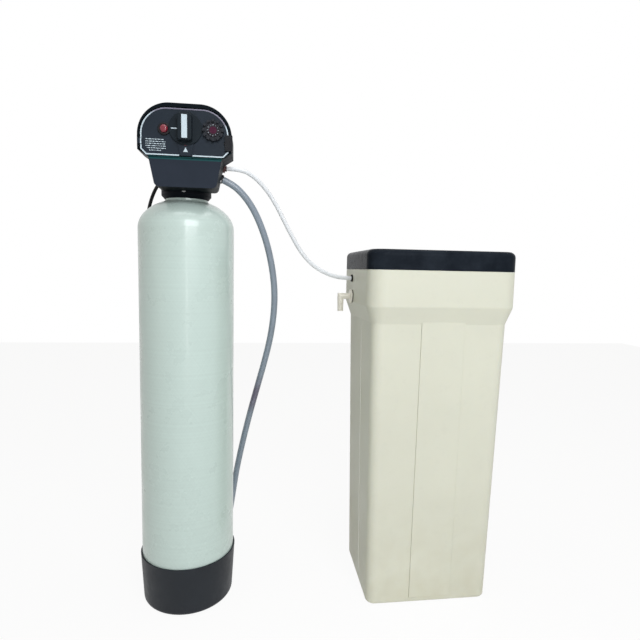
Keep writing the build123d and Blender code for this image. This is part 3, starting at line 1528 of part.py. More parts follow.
save(
    ring_part(
        overflow_flange_r - 1, overflow_shank_r + gap, gasket_thick,
        side_at(wall_x - gasket_thick, overflow_y, overflow_z),
    ),
    "overflow_gasket",
)
with BuildPart() as overflow_nut:
    with BuildSketch(side_at(wall_x + brine_wall + overflow_boss, overflow_y, overflow_z)):
        RegularPolygon(overflow_nut_r, 6)
        Circle(overflow_shank_r + running, mode=Mode.SUBTRACT)
    extrude(amount=overflow_nut_thick)
save(overflow_nut.part, "overflow_nut")

# Free hoses and the free stretch of the power cord
brine_path = cord_path(brine_route, brine_tube_d, "brine line")
save(tube_along(brine_path, brine_tube_d, "brine line"), "brine_line")
drain_path = cord_path(drain_route, drain_hose_d, "drain hose")
save(tube_along(drain_path, drain_hose_d, "drain hose"), "drain_hose")
cord_line = cord_path(cord_route, cord_d, "power cord")
save(tube_along(cord_line, cord_d, "power cord"), "power_cord")

# Coil: it winds in by one layer, climbs in the half turn where it reverses, and winds out on top
coil_x = cord_route[-1][0] + coil_r
coil_y = cord_route[-1][1]
coil_z = cord_route[-1][2]


def coil_point(turn):
    """A point of the coil's centreline, some turns along it."""
    angle = 2 * pi * turn
    inner_r = coil_r - coil_pitch * coil_turns_in
    radius = inner_r + coil_pitch * abs(turn - coil_turns_in)
    climb = min(max((turn - coil_turns_in) / climb_turns + 0.5, 0), 1)
    height = coil_z + coil_pitch * climb ** 2 * (3 - 2 * climb)
    return Vector(coil_x - radius * cos(angle), coil_y + radius * sin(angle), height)


def coil_tangent(turn):
    """Direction of the coil's centreline."""
    step = 0.004
    return (coil_point(turn + step) - coil_point(turn - step)).normalized()


quarters = [index / 4 for index in range(int(coil_turns * 4) + 1)]
knots = [coil_point(turn) for turn in quarters]
headings = [Vector(0, 1, 0)] + [coil_tangent(turn) for turn in quarters[1:-1]] + [Vector(1, 0, 0)]
plug_end = knots[-1] + headings[-1] * coil_tail
with BuildLine() as coil_line:
    for first, last, leaving, arriving in zip(knots, knots[1:], headings, headings[1:]):
        chord, spread = last - first, leaving + arriving
        bend = 2 * (1 - leaving.dot(arriving))
        along = chord.dot(spread)
        reach = (-along + sqrt(along ** 2 + bend * chord.dot(chord))) / bend
        joint = (first + leaving * reach + last - arriving * reach) * 0.5
        middle = (last - arriving * reach) - (first + leaving * reach)
        TangentArc(first, joint, tangent=leaving)
        TangentArc(joint, last, tangent=middle)
    Line(knots[-1], plug_end)
save(tube_along(coil_line.wires()[0], cord_d, "cord coil"), "cord_coil")

samples = [coil_point(coil_turns * index / 400) for index in range(401)]
apart = ceil(3 * cord_d / (coil_turns * 2 * pi * coil_r / 400))
least = min((b - a).length for i, a in enumerate(samples) for b in samples[i + apart:])
print("cord coil least gap to itself", round(least - cord_d, 2))

# Tie round the coil's turns, on the side away from the plug
tie_turns = (0.75, 1.75, 2.75)
tie_points = [coil_point(turn) for turn in tie_turns]
tie_near = coil_y - min(point.Y for point in tie_points)
tie_far = coil_y - max(point.Y for point in tie_points)
tie_inner_w = tie_near - tie_far + cord_d + 2 * tie_gap
tie_middle_y = coil_y - (tie_near + tie_far) / 2
tie_low = min(point.Z for point in tie_points) - cord_d / 2 - tie_gap_below
tie_high = max(point.Z for point in tie_points) + cord_d / 2 + tie_gap
with BuildPart() as cord_tie:
    with BuildSketch(side_at(coil_x - tie_width / 2)):
        with Locations((tie_middle_y, (tie_low + tie_high) / 2)):
            Rectangle(tie_inner_w + 2 * tie_thick, tie_high - tie_low + 2 * tie_thick)
            Rectangle(tie_inner_w, tie_high - tie_low, mode=Mode.SUBTRACT)
    extrude(amount=tie_width)
save(cord_tie.part, "cord_tie")

# Plug at the coil's outer end, lying beside it
with BuildPart() as cord_plug:
    with BuildSketch(side_at(plug_end.X, plug_end.Y, plug_end.Z)):
        Circle(cord_d / 2 + 0.6)
    with BuildSketch(side_at(plug_end.X + plug_sleeve, plug_end.Y, plug_end.Z)):
        Circle(cord_d / 2 + 2.4)
    loft()
    with BuildSketch(side_at(plug_end.X + plug_sleeve, plug_end.Y, plug_end.Z)):
        RectangleRounded(plug_width, plug_height, 6)
    extrude(amount=plug_length)
    with BuildSketch(side_at(plug_end.X + plug_sleeve + plug_length, plug_end.Y, plug_end.Z)):
        with Locations((-blade_pitch / 2, 0), (blade_pitch / 2, 0)):
            Rectangle(blade_thick, blade_width)
    extrude(amount=blade_length)
save(cord_plug.part, "cord_plug")
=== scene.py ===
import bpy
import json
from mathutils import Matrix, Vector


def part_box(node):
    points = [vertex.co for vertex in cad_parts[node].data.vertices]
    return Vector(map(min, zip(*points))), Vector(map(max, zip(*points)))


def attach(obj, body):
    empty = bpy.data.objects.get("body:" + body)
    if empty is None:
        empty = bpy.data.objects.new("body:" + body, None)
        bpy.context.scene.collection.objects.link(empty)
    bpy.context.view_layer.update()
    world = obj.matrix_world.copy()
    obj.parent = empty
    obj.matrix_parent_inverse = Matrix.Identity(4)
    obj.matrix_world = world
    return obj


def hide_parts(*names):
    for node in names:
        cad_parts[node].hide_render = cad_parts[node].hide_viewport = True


bl_info = {
    "name": "Twin-tank water softener",
    "version": (1, 0, 0),
    "blender": (4, 2, 0),
    "location": "View3D > Sidebar > Softener",
    "description": "Finishes, hoses, cord, markings and studio of a twin-tank water softener",
    "category": "Object",
}

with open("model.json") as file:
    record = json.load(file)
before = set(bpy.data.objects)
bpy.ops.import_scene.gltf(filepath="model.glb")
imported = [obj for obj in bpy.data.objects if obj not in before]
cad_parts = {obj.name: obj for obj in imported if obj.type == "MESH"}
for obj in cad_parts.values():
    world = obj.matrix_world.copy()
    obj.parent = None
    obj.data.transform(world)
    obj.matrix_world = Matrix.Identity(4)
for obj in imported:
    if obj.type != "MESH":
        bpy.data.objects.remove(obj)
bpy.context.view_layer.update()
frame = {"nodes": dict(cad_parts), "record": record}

import json
from math import cos, pi, sin
from random import Random

import bmesh
import bpy
from bpy.props import FloatProperty, FloatVectorProperty, PointerProperty
from mathutils import Matrix, Vector

MM = 0.001
AXIS_X, AXIS_Y, AXIS_Z = Vector((1, 0, 0)), Vector((0, 1, 0)), Vector((0, 0, 1))

# Camera: the photograph's viewpoint, in metres and radians; lens and sensor in millimetres
CAMERA_PLACE = (0.152416, -1.141598, 0.755888)
CAMERA_YAW = -0.129
CAMERA_PITCH = 0.0988
CAMERA_ROLL = 0.0203
CAMERA_LENS = 27.98
SENSOR_WIDTH = 36.0

# Places on the head, in millimetres
HEAD_X = 11.5
PANEL_Y = -107.0
KNOB_X, KNOB_Z = 13.0, 1027.5
SKIRT_FRONT_Y = -111.3
TAB_FRONT_Y = -110.0
DIAL_X, DIAL_Z = 66.3, 1026.0
HUB_FRONT_Y = -114.3
LEAF_FRONT_Y = -109.4
BORDER_LEFT_X, BORDER_W = -73.2, 2.4
LEAF_LOW_Z, LEAF_TOP_Z = 995.0, 1005.0
WAIST_HALF_W = 71.0
PANEL_FOOT_Z = 974.8
CHAMFER_Z, CHAMFER_SLOPE = 973.5, (13.0, -20.0)

# Print on the head, in millimetres
PRINT_THICK = 0.15
PRINT_ROWS = [(-63.5, -28.5), (-63.5, -25.5), (-63.5, -25.0), (-63.5, -24.0), (-61.0, -24.0), (-57.0, -33.0)]
PRINT_TOP_Z, PRINT_PITCH = 1005.0, 4.2
DASH_LENGTHS = (1.6, 2.4, 3.2, 4.4, 5.6)
DASH_HEIGHT, DASH_GAP = 1.5, 0.9
POINTER_TIP_Z, POINTER_FOOT_Z, POINTER_HALF_W = 991.8, 982.6, 4.6
SPOT_Z, SPOT_LENGTH, SPOT_HEIGHT = 995.6, 4.8, 1.4
MARK_REACH, MARK_DROP, MARK_LENGTH, MARK_HEIGHT = 27.5, 1.0, 12.0, 2.2
NUMBERS, NUMBER_RING_R, NUMBER_HEIGHT = 12, 10.1, 3.0

# Where a finish or a painted light changes, in metres; each pair is the start and the end of a soft step
# APRON_TOP starts the painted light on the front below the panel; LINE_* bound the painted highlight under
# the panel
APRON_TOP = (0.9725, 0.9715)
LINE_TOP, LINE_FOOT, LINE_LEFT = (0.0008, 0.0012), (0.0066, 0.0060), (-0.060, -0.058)
# BORDER_TOP and CORNER_* bound the painted shade on the border print
BORDER_TOP, CORNER_FOOT, CORNER_OUT = (1.050, 1.060), (1.030, 1.040), (1.114, 1.120)
HUB_MIDDLE = (0.0067, 0.0071)
STAIN_FOOT, STAIN_TOP = (0.395, 0.43), (0.50, 0.46)
GRIME = (0.30, 0.0)

# Vessel, brine tank and pipe stubs
VESSEL_R = 102.5
WINDING_LEAN = 0.96  # angle of the strands from the horizontal, in radians
BRINE_X = 549.0
BASE_HALF_W, BODY_HALF_W, BODY_TOP = 142.0, 152.0, 646.0
RIDGE_Y = -8.5
RIDGE_LOW_Z, RIDGE_TOP_Z = 14.0, 638.0
RIDGE_STEPS, RIDGE_TAPER_STEPS = 24, 2
RIDGE_WAVE = 0.5
RIDGE_END, RIDGE_FULL = (1.0, 0.2), (1.4, 0.8)  # half width and height
PORT_X, PORT_Z = 21.0, 951.0
PIPE_R = 16.6
PIPE_FROM_Y, PIPE_TO_Y = 78.0, 100.0
THREAD_PITCH = 2.2
THREAD_GAP = 1.5  # plain length at each end of a thread
THREAD_PROFILE = ((-0.4, -0.8), (0.5, 0.0), (-0.4, 0.8))  # out of the pipe's wall, and along it

# Routes of the hoses and the cord, the same as those of the CAD solids
LINE_Y, LINE_Z = 49.0, 739.5
BRINE_ROUTE = [
    (88, -25, 970.5), (114, -25, 970.5), (141, -15, 963), (172, -4, 936), (196, 3, 902),
    (215, 7, 866), (235, 13, 830), (257, 19, 795), (286, 27, 766), (321, 37, 748),
    (354, LINE_Y, LINE_Z), (381, LINE_Y, LINE_Z),
]
DRAIN_ROUTE = [
    (68, -26, 951), (97, -22, 941), (125, -16, 917.5), (150, -7, 882), (173, 4, 827),
    (188, 16, 768), (196, 29, 709), (195, 41, 650), (187, 52, 590), (174, 64, 532),
    (159, 75, 474), (144, 85, 416), (130, 96, 357), (117, 106, 297), (106, 115, 240),
    (98, 124, 185), (91, 133, 135), (84, 145, 92), (78, 164, 55), (72, 191, 27),
    (66, 223, 11), (60, 256, 7.8), (52, 289, 7.8),
]
CORD_ROUTE = [
    (-50, -18, 941), (-60, 6, 938), (-74, 23, 922), (-88, 41, 894), (-98, 60, 854),
    (-104, 78, 806), (-108, 94, 752), (-110, 107, 694), (-111, 115, 634), (-109, 120, 560),
    (-108, 123, 475), (-108, 124, 390), (-109, 124, 305), (-111, 125, 225), (-114, 128, 155),
    (-117, 134, 98), (-119, 148, 50), (-118, 172, 18), (-117, 202, 4.6), (-117, 224, 4.6),
]
COIL_R = 45.0
COIL_PITCH = 8.0
COIL_TURNS_IN = 1.5
COIL_TURNS = 3.25
COIL_TAIL = 18.0
CLIMB_TURNS = 0.5
POINTS_PER_TURN = 24
PLUG_SLEEVE = 18.0
PLUG_LENGTH = 36.0
PLUG_WIDTH = 26.0
PLUG_HEIGHT = 25.0
SLEEVE_RIBS, STEPS_PER_RIB = 5, 4
SLEEVE_R, SLEEVE_GROWTH = 4.4, 1.6
RIB_RISE, RIB_DIP = 0.35, -0.25
BLADE_LENGTH, BLADE_WIDTH, BLADE_THICK, BLADE_PITCH = 17.0, 6.4, 1.6, 12.7
BLADE_ROOT, BLADE_TAPER = 2.0, 1.5
BUCKLE_FROM_REAR, BUCKLE_HALF_L = 6.0, 3.4
BUCKLE_PROFILE = ((0.0, 5.2), (2.4, 5.2), (3.0, 4.6))  # height, half width
SCREW_IN = 4.0
SCREW_PROFILE = (  # reach to the front, half width, squareness
    (-4.0, 1.6, 2.0), (3.0, 1.6, 2.0), (3.0, 3.4, 3.0), (5.6, 3.4, 3.0), (6.2, 2.8, 3.0),
)

# Fine texture and studio
GRAIN_DEPTH = 0.0002
EDGE_TURN = (0.97, 0.75)  # cosine of the rounded normal's turn where wear begins and is full
DARK_RING = (0.022, 0.018, 0.024)
# Colour of the border print where painted shade darkens it
SHADED_PRINT = (0.17, 0.16, 0.23)
SCUFF = (0.09, 0.10, 0.12)
FLOOR_HALF, FLOOR_X = 4.0, 0.3
FLOOR_GLOW = 0.93
AMBIENT_TINT, AMBIENT = (1.0, 0.92, 0.78), 0.18
WHITE = (1.0, 1.0, 1.0)


class SoftenerSizes(bpy.types.PropertyGroup):
    """Sizes of the pieces that this script makes."""

    brine_line: FloatProperty(
        name="Brine line", description="Diameter of the brine line", default=0.0095, unit="LENGTH"
    )
    drain_hose: FloatProperty(
        name="Drain hose", description="Diameter of the drain hose", default=0.015, unit="LENGTH"
    )
    power_cord: FloatProperty(
        name="Power cord", description="Diameter of the power cord", default=0.0075, unit="LENGTH"
    )
    grain: FloatProperty(
        name="Grain", description="Strength of the moulded grain on plastics", default=1.0, min=0.0, max=4.0
    )


def colour_property(name, description, default):
    """A colour that a user may change."""
    return FloatVectorProperty(name=name, description=description, default=default, subtype="COLOR", size=3)


class SoftenerColours(bpy.types.PropertyGroup):
    """Main colours, linear."""

    vessel: colour_property("Vessel", "Wound vessel", (0.58, 0.71, 0.675))
    brine_tank: colour_property("Brine tank", "Moulded salt tank", (0.735, 0.745, 0.635))
    lid: colour_property("Lid", "Lid of the salt tank", (0.007, 0.010, 0.015))
    boot: colour_property("Boot", "Boot of the vessel", (0.018, 0.022, 0.028))
    cover: colour_property("Cover", "Head cover", (0.004, 0.007, 0.010))
    # Painted light: slate for the lit front faces of the cover below the panel
    apron: colour_property("Apron", "Front of the cover under the panel", (0.029, 0.037, 0.053))
    panel: colour_property("Panel", "Timer panel", (0.018, 0.026, 0.038))
    # Painted highlight: the thin line along the frame's lower edge under the panel
    edge_line: colour_property("Edge line", "Line under the panel", (0.020, 0.085, 0.092))
    border: colour_property("Border", "Strips and marks on the panel", (0.58, 0.70, 0.78))
    skirt: colour_property("Knob", "Control knob", (0.014, 0.020, 0.026))
    button: colour_property("Button", "Time-set button", (0.20, 0.007, 0.024))
    dial: colour_property("Dial", "Middle of the program dial", (0.060, 0.007, 0.028))
    tube: colour_property("Tube", "Brine line", (0.83, 0.86, 0.90))
    hose: colour_property("Hose", "Drain hose", (0.24, 0.29, 0.35))
    hose_stain: colour_property("Hose stain", "Darker stretch of the drain hose", (0.14, 0.13, 0.18))


def sizes():
    """The scene's sizes."""
    return bpy.context.scene.softener_sizes


def colours():
    """The scene's colours."""
    return bpy.context.scene.softener_colours


# Shader helpers


def node(tree, kind, inputs=(), **settings):
    """A shader node; each input is a constant or another node's output."""
    made = tree.nodes.new(kind)
    for name, value in settings.items():
        setattr(made, name, value)
    for name, value in dict(inputs).items():
        if isinstance(value, bpy.types.NodeSocket):
            tree.links.new(value, made.inputs[name])
        else:
            made.inputs[name].default_value = value
    return made


def math(tree, operation, *values):
    """One sum, on constants or sockets."""
    return node(tree, "ShaderNodeMath", dict(enumerate(values)), operation=operation).outputs[0]


def rgba(colour, factor=1.0):
    """A colour with its alpha, made lighter or darker."""
    return tuple(min(channel * factor, 1.0) for channel in colour[:3]) + (1.0,)


def lifted(colour, factor, lift):
    """A paler and greyer colour, as that of worn or dusty plastic."""
    return rgba(tuple(channel * factor + lift for channel in colour[:3]))


def mixed(tree, factor, first, second):
    """Two colours mixed by a factor."""
    made = node(tree, "ShaderNodeMix", {0: factor, 6: first, 7: second}, data_type="RGBA", clamp_factor=True)
    return made.outputs[2]


def stretch(tree, value, low, high, to_low=0.0, to_high=1.0):
    """A value mapped from one range to another, and held inside it."""
    inputs = {"Value": value, "From Min": low, "From Max": high, "To Min": to_low, "To Max": to_high}
    return node(tree, "ShaderNodeMapRange", inputs).outputs["Result"]


def swing(tree, value, low, high):
    """A setting that goes from low to high with a noise."""
    return stretch(tree, value, 0.3, 0.7, low, high)


def place(tree):
    """Coordinates on the object, at rest in the frame that all pieces share."""
    return node(tree, "ShaderNodeTexCoord").outputs["Object"]


def part_of(tree, vector, axis):
    """One coordinate of a vector: X, Y or Z."""
    return node(tree, "ShaderNodeSeparateXYZ", {"Vector": vector}).outputs[axis]


def noise(tree, vector, scale, detail=3.0, rough=0.5):
    """Value of a noise, about 0.5 in the mean."""
    inputs = {"Vector": vector, "Scale": scale, "Detail": detail, "Roughness": rough}
    return node(tree, "ShaderNodeTexNoise", inputs).outputs[0]


def line_noise(tree, along, scale, detail):
    """A noise that changes along one direction only."""
    inputs = {"W": along, "Scale": scale, "Detail": detail}
    return node(tree, "ShaderNodeTexNoise", inputs, noise_dimensions="1D").outputs[0]


def start_material(name):
    """An empty material with its principled shader."""
    material = bpy.data.materials.new(name)
    material.use_nodes = True
    tree = material.node_tree
    tree.nodes.clear()
    shader = tree.nodes.new("ShaderNodeBsdfPrincipled")
    output = tree.nodes.new("ShaderNodeOutputMaterial")
    tree.links.new(shader.outputs["BSDF"], output.inputs["Surface"])
    return material, tree, shader


def feed(tree, shader, **inputs):
    """Sets or links inputs of the principled shader by their plain names."""
    names = {
        "colour": "Base Color", "rough": "Roughness", "metal": "Metallic", "normal": "Normal",
        "coat": "Coat Weight", "coat_rough": "Coat Roughness", "specular": "Specular IOR Level",
        "glow": "Subsurface Weight", "glow_radius": "Subsurface Radius", "glow_scale": "Subsurface Scale",
    }
    for name, value in inputs.items():
        socket = shader.inputs[names[name]]
        if isinstance(value, bpy.types.NodeSocket):
            tree.links.new(value, socket)
        else:
            socket.default_value = value


def dot(tree, first, second):
    """How far two directions agree."""
    return node(tree, "ShaderNodeVectorMath", {0: first, 1: second}, operation="DOT_PRODUCT").outputs["Value"]


def softened(tree, radius):
    """The normal with edges rounded by a radius, and a mask of those edges."""
    rounded = node(tree, "ShaderNodeBevel", {"Radius": radius}, samples=4).outputs["Normal"]
    plain = node(tree, "ShaderNodeNewGeometry").outputs["Normal"]
    return rounded, stretch(tree, dot(tree, rounded, plain), *EDGE_TURN)


def bumped(tree, height, strength, distance, normal):
    """A bump on top of a normal."""
    inputs = {"Height": height, "Strength": strength, "Distance": distance, "Normal": normal}
    return node(tree, "ShaderNodeBump", inputs).outputs["Normal"]


def grained(tree, vector, scale, strength, edge, detail=3.0):
    """A normal with a fine grain and rounded edges."""
    return bumped(tree, noise(tree, vector, scale, detail), strength, GRAIN_DEPTH, softened(tree, edge)[0])


def moulded(
    name, colour, rough=0.42, grain=900.0, bump=0.10, mottle=0.10, wear=0.25, edge=0.0005, dust_and_sheen=0.0, **more
):
    """Moulded plastic: fine grain, cloudy tone, uneven gloss, paler worn edges and lighter patches, partly
    dust and partly painted sheen.
    """
    material, tree, shader = start_material(name)
    vector = place(tree)
    clouds = noise(tree, vector, 14.0, 4.0, 0.6)
    fine = noise(tree, vector, grain, 2.0)
    base = mixed(tree, clouds, rgba(colour, 1 - mottle), rgba(colour, 1 + mottle))
    normal, worn = softened(tree, edge)
    scuffs = math(tree, "MULTIPLY", worn, stretch(tree, noise(tree, vector, 120.0), 0.4, 0.7, 0.0, wear))
    # Lighter cloudy patches: partly dust, partly a painted sheen standing in for a soft reflection
    if dust_and_sheen:
        dust = stretch(tree, noise(tree, vector, 7.0, 6.0, 0.65), 0.42, 0.72, 0.0, dust_and_sheen)
        base = mixed(tree, dust, base, lifted(colour, 4.0, 0.025))
    feed(
        tree, shader,
        colour=mixed(tree, scuffs, base, lifted(colour, 1.6, 0.02)),
        rough=swing(tree, noise(tree, vector, 60.0, 5.0, 0.65), rough - 0.06, rough + 0.08),
        normal=bumped(tree, fine, bump * sizes().grain, GRAIN_DEPTH, normal),
        **more,
    )
    return material


def metal(name, colour, rough=0.32):
    """Plated or cast metal: drawn streaks, spots of dull oxide and bright edges."""
    material, tree, shader = start_material(name)
    vector = place(tree)
    streak = (600.0, 12.0, 600.0)
    drawn = node(tree, "ShaderNodeVectorMath", {0: vector, 1: streak}, operation="MULTIPLY").outputs["Vector"]
    lines = noise(tree, drawn, 1.0, 3.0)
    spots = noise(tree, vector, 90.0, 5.0, 0.7)
    oxide = math(tree, "MULTIPLY", stretch(tree, spots, 0.52, 0.68), 0.5)
    base = mixed(tree, lines, rgba(colour, 0.85), rgba(colour, 1.1))
    normal, worn = softened(tree, 0.0004)
    aged = mixed(tree, oxide, base, rgba(colour, 0.5))
    feed(
        tree, shader, metal=1.0,
        colour=mixed(tree, math(tree, "MULTIPLY", worn, 0.4), aged, rgba(colour, 1.25)),
        rough=stretch(tree, math(tree, "ADD", oxide, lines), 0.2, 1.2, rough, rough + 0.25),
        normal=bumped(tree, lines, 0.08, GRAIN_DEPTH, normal),
    )
    return material


def rubber(name, colour, rough=0.62):
    """Rubber and soft jackets: matt, dusty in places, with a faint sheen."""
    material, tree, shader = start_material(name)
    vector = place(tree)
    dust = stretch(tree, noise(tree, vector, 35.0, 5.0, 0.65), 0.45, 0.75, 0.0, 0.35)
    feed(
        tree, shader, specular=0.15,
        colour=mixed(tree, dust, rgba(colour), lifted(colour, 1.5, 0.012)),
        rough=stretch(tree, dust, 0.0, 0.35, rough, rough + 0.15),
        normal=grained(tree, vector, 1400.0, 0.08, 0.0003, 2.0),
    )
    return material


def wound_fibreglass(name, colour):
    """Glossy resin over helical winding, with faint bands where the strands cross."""
    material, tree, shader = start_material(name)
    vector = place(tree)
    x, y, z = (part_of(tree, vector, axis) for axis in "XYZ")
    turn = math(tree, "ARCTAN2", x, math(tree, "MULTIPLY", y, -1.0))
    around = math(tree, "MULTIPLY", turn, VESSEL_R * MM)
    climb = math(tree, "MULTIPLY", z, cos(WINDING_LEAN))
    strands = []
    for side in (-1.0, 1.0):
        across = math(tree, "ADD", math(tree, "MULTIPLY", around, side * sin(WINDING_LEAN)), climb)
        strands.append(line_noise(tree, across, 260.0, 1.0))
    weave = math(tree, "MULTIPLY", math(tree, "ADD", *strands), 0.5)
    hoops = line_noise(tree, z, 170.0, 3.0)
    clouds = noise(tree, vector, 9.0, 5.0, 0.6)
    tone = math(
        tree, "ADD", math(tree, "MULTIPLY", weave, 0.35),
        math(tree, "ADD", math(tree, "MULTIPLY", hoops, 0.35), math(tree, "MULTIPLY", clouds, 0.30)),
    )
    normal = bumped(tree, weave, 0.12, 0.0004, softened(tree, 0.0005)[0])
    feed(
        tree, shader,
        colour=mixed(tree, stretch(tree, tone, 0.36, 0.64), rgba(colour, 0.965), rgba(colour, 1.03)),
        rough=stretch(tree, clouds, 0.35, 0.65, 0.20, 0.40),
        normal=bumped(tree, hoops, 0.15, 0.0006, normal),
        coat=0.35, coat_rough=0.12, specular=0.5,
    )
    return material


def rotomoulded(name, colour):
    """Waxy rotomoulded wall: orange-peel skin, pale clouds and grime towards the foot."""
    material, tree, shader = start_material(name)
    vector = place(tree)
    clouds = noise(tree, vector, 6.0, 5.0, 0.6)
    base = mixed(tree, clouds, rgba(colour, 0.93), rgba(colour, 1.05))
    low_down = stretch(tree, part_of(tree, vector, "Z"), *GRIME, 0.0, 0.55)
    grime = math(tree, "MULTIPLY", low_down, swing(tree, noise(tree, vector, 18.0, 6.0), 0.0, 1.0))
    peel = noise(tree, vector, 260.0, 2.0)
    scratches = stretch(tree, noise(tree, vector, 45.0, 6.0, 0.7), 0.55, 0.8, 0.0, 0.25)
    normal = softened(tree, 0.0015)[0]
    dirty = mixed(tree, grime, base, rgba((colour[0] * 0.80, colour[1] * 0.76, colour[2] * 0.68)))
    feed(
        tree, shader,
        colour=mixed(tree, scratches, dirty, rgba(colour, 0.82)),
        rough=swing(tree, clouds, 0.40, 0.55),
        normal=bumped(tree, peel, 0.12 * sizes().grain, 0.0005, normal),
        glow=0.06, glow_radius=(0.02, 0.015, 0.008), glow_scale=0.2, specular=0.4,
    )
    return material


def cover_plastic(name):
    """Black satin cover, with painted light making its front below the panel slate, and a painted highlight
    as the line under the panel.
    """
    material, tree, shader = start_material(name)
    vector = place(tree)
    x, z = part_of(tree, vector, "X"), part_of(tree, vector, "Z")
    facing = dot(tree, node(tree, "ShaderNodeNewGeometry").outputs["Normal"], -AXIS_Y)
    forward = stretch(tree, facing, 0.6, 0.9)
    below = math(tree, "SUBTRACT", PANEL_FOOT_Z * MM, z)
    slant = Vector(CHAMFER_SLOPE).normalized()
    chamfer = math(
        tree, "ADD",
        math(tree, "MULTIPLY", math(tree, "SUBTRACT", x, (HEAD_X + WAIST_HALF_W) * MM), slant.x),
        math(tree, "MULTIPLY", math(tree, "SUBTRACT", z, CHAMFER_Z * MM), slant.y),
    )
    under = math(tree, "MAXIMUM", below, chamfer)
    # Painted highlight: a thin line along the frame's lower edge, under the panel and along its chamfer
    edge = math(
        tree, "MULTIPLY", stretch(tree, under, *LINE_TOP),
        math(tree, "MULTIPLY", stretch(tree, under, *LINE_FOOT), stretch(tree, x, *LINE_LEFT)),
    )
    # Painted light: below the panel only the faces that look to the front are slate; the others stay black
    apron = math(tree, "MULTIPLY", stretch(tree, z, *APRON_TOP), forward)
    clouds = noise(tree, vector, 16.0, 5.0, 0.65)
    slate = mixed(tree, clouds, rgba(colours().apron, 0.82), rgba(colours().apron, 1.2))
    black = mixed(tree, clouds, rgba(colours().cover, 0.85), rgba(colours().cover, 1.3))
    normal, worn = softened(tree, 0.0006)
    scuffs = math(tree, "MULTIPLY", worn, stretch(tree, noise(tree, vector, 90.0), 0.45, 0.7, 0.0, 0.3))
    base = mixed(tree, apron, black, slate)
    line = math(tree, "MULTIPLY", edge, stretch(tree, facing, 0.1, 0.4))
    lined = mixed(tree, line, base, rgba(colours().edge_line))
    feed(
        tree, shader,
        colour=mixed(tree, scuffs, lined, rgba(SCUFF)),
        rough=swing(tree, noise(tree, vector, 60.0, 5.0, 0.65), 0.36, 0.50),
        normal=bumped(tree, noise(tree, vector, 1100.0, 2.0), 0.08 * sizes().grain, GRAIN_DEPTH, normal),
        specular=0.03,
    )
    return material


def border_print(name, colour):
    """Pale print, with painted shade greying it along the panel's top edge and in its upper right corner."""
    material, tree, shader = start_material(name)
    vector = place(tree)
    z = part_of(tree, vector, "Z")
    clouds = noise(tree, vector, 120.0, 4.0)
    # Painted shade: the print darkens along the panel's top edge and in its upper right corner
    outward = math(tree, "ADD", part_of(tree, vector, "X"), z)
    corner = math(tree, "MULTIPLY", stretch(tree, outward, *CORNER_OUT), stretch(tree, z, *CORNER_FOOT))
    painted_shade_band = math(tree, "MAXIMUM", stretch(tree, z, *BORDER_TOP), corner)
    painted_shade_mask = math(tree, "MULTIPLY", painted_shade_band, stretch(tree, clouds, 0.2, 0.5, 0.7, 1.0))
    fresh = mixed(tree, clouds, rgba(colour, 0.95), rgba(colour, 1.05))
    feed(
        tree, shader,
        colour=mixed(tree, painted_shade_mask, fresh, rgba(SHADED_PRINT)),
        rough=swing(tree, clouds, 0.30, 0.42),
        normal=grained(tree, vector, 900.0, 0.08, 0.0002, 2.0),
    )
    return material


def hub_finish(name):
    """Crimson middle of the dial inside a dark ring for the numbers."""
    material, tree, shader = start_material(name)
    vector = place(tree)
    squares = [
        math(tree, "POWER", math(tree, "SUBTRACT", part_of(tree, vector, axis), middle * MM), 2.0)
        for axis, middle in (("X", DIAL_X), ("Z", DIAL_Z))
    ]
    reach = math(tree, "SQRT", math(tree, "ADD", *squares))
    clouds = noise(tree, vector, 160.0, 4.0)
    crimson = mixed(tree, clouds, rgba(colours().dial, 0.7), rgba(colours().dial, 1.25))
    feed(
        tree, shader,
        colour=mixed(tree, stretch(tree, reach, *HUB_MIDDLE), crimson, rgba(DARK_RING)),
        rough=swing(tree, clouds, 0.26, 0.38),
        normal=grained(tree, vector, 900.0, 0.06, 0.0004),
        specular=0.1,
    )
    return material


def clear_tube(name, colour):
    """Milky polyethylene tube."""
    material, tree, shader = start_material(name)
    vector = place(tree)
    clouds = noise(tree, vector, 22.0)
    feed(
        tree, shader,
        colour=mixed(tree, clouds, rgba(colour, 0.93), rgba(colour, 1.05)),
        rough=swing(tree, noise(tree, vector, 70.0), 0.26, 0.38),
        normal=grained(tree, vector, 90.0, 0.04, 0.0003),
        glow=0.15, glow_radius=(0.006, 0.006, 0.006), glow_scale=0.3, coat=0.1,
    )
    return material


def vinyl_hose(name):
    """Smoky vinyl hose with a darker stained stretch and a cloudy film."""
    material, tree, shader = start_material(name)
    vector = place(tree)
    z = part_of(tree, vector, "Z")
    stain = math(tree, "MULTIPLY", stretch(tree, z, *STAIN_FOOT), stretch(tree, z, *STAIN_TOP))
    clouds = noise(tree, vector, 12.0, 4.0)
    base = mixed(tree, clouds, rgba(colours().hose, 0.88), rgba(colours().hose, 1.12))
    film = stretch(tree, noise(tree, vector, 40.0, 5.0), 0.5, 0.8, 0.0, 0.3)
    stained = mixed(tree, stain, base, rgba(colours().hose_stain))
    feed(
        tree, shader,
        colour=mixed(tree, film, stained, rgba(colours().hose, 1.4)),
        rough=swing(tree, clouds, 0.22, 0.40),
        normal=grained(tree, vector, 420.0, 0.05, 0.0003),
        coat=0.25, coat_rough=0.2,
    )
    return material


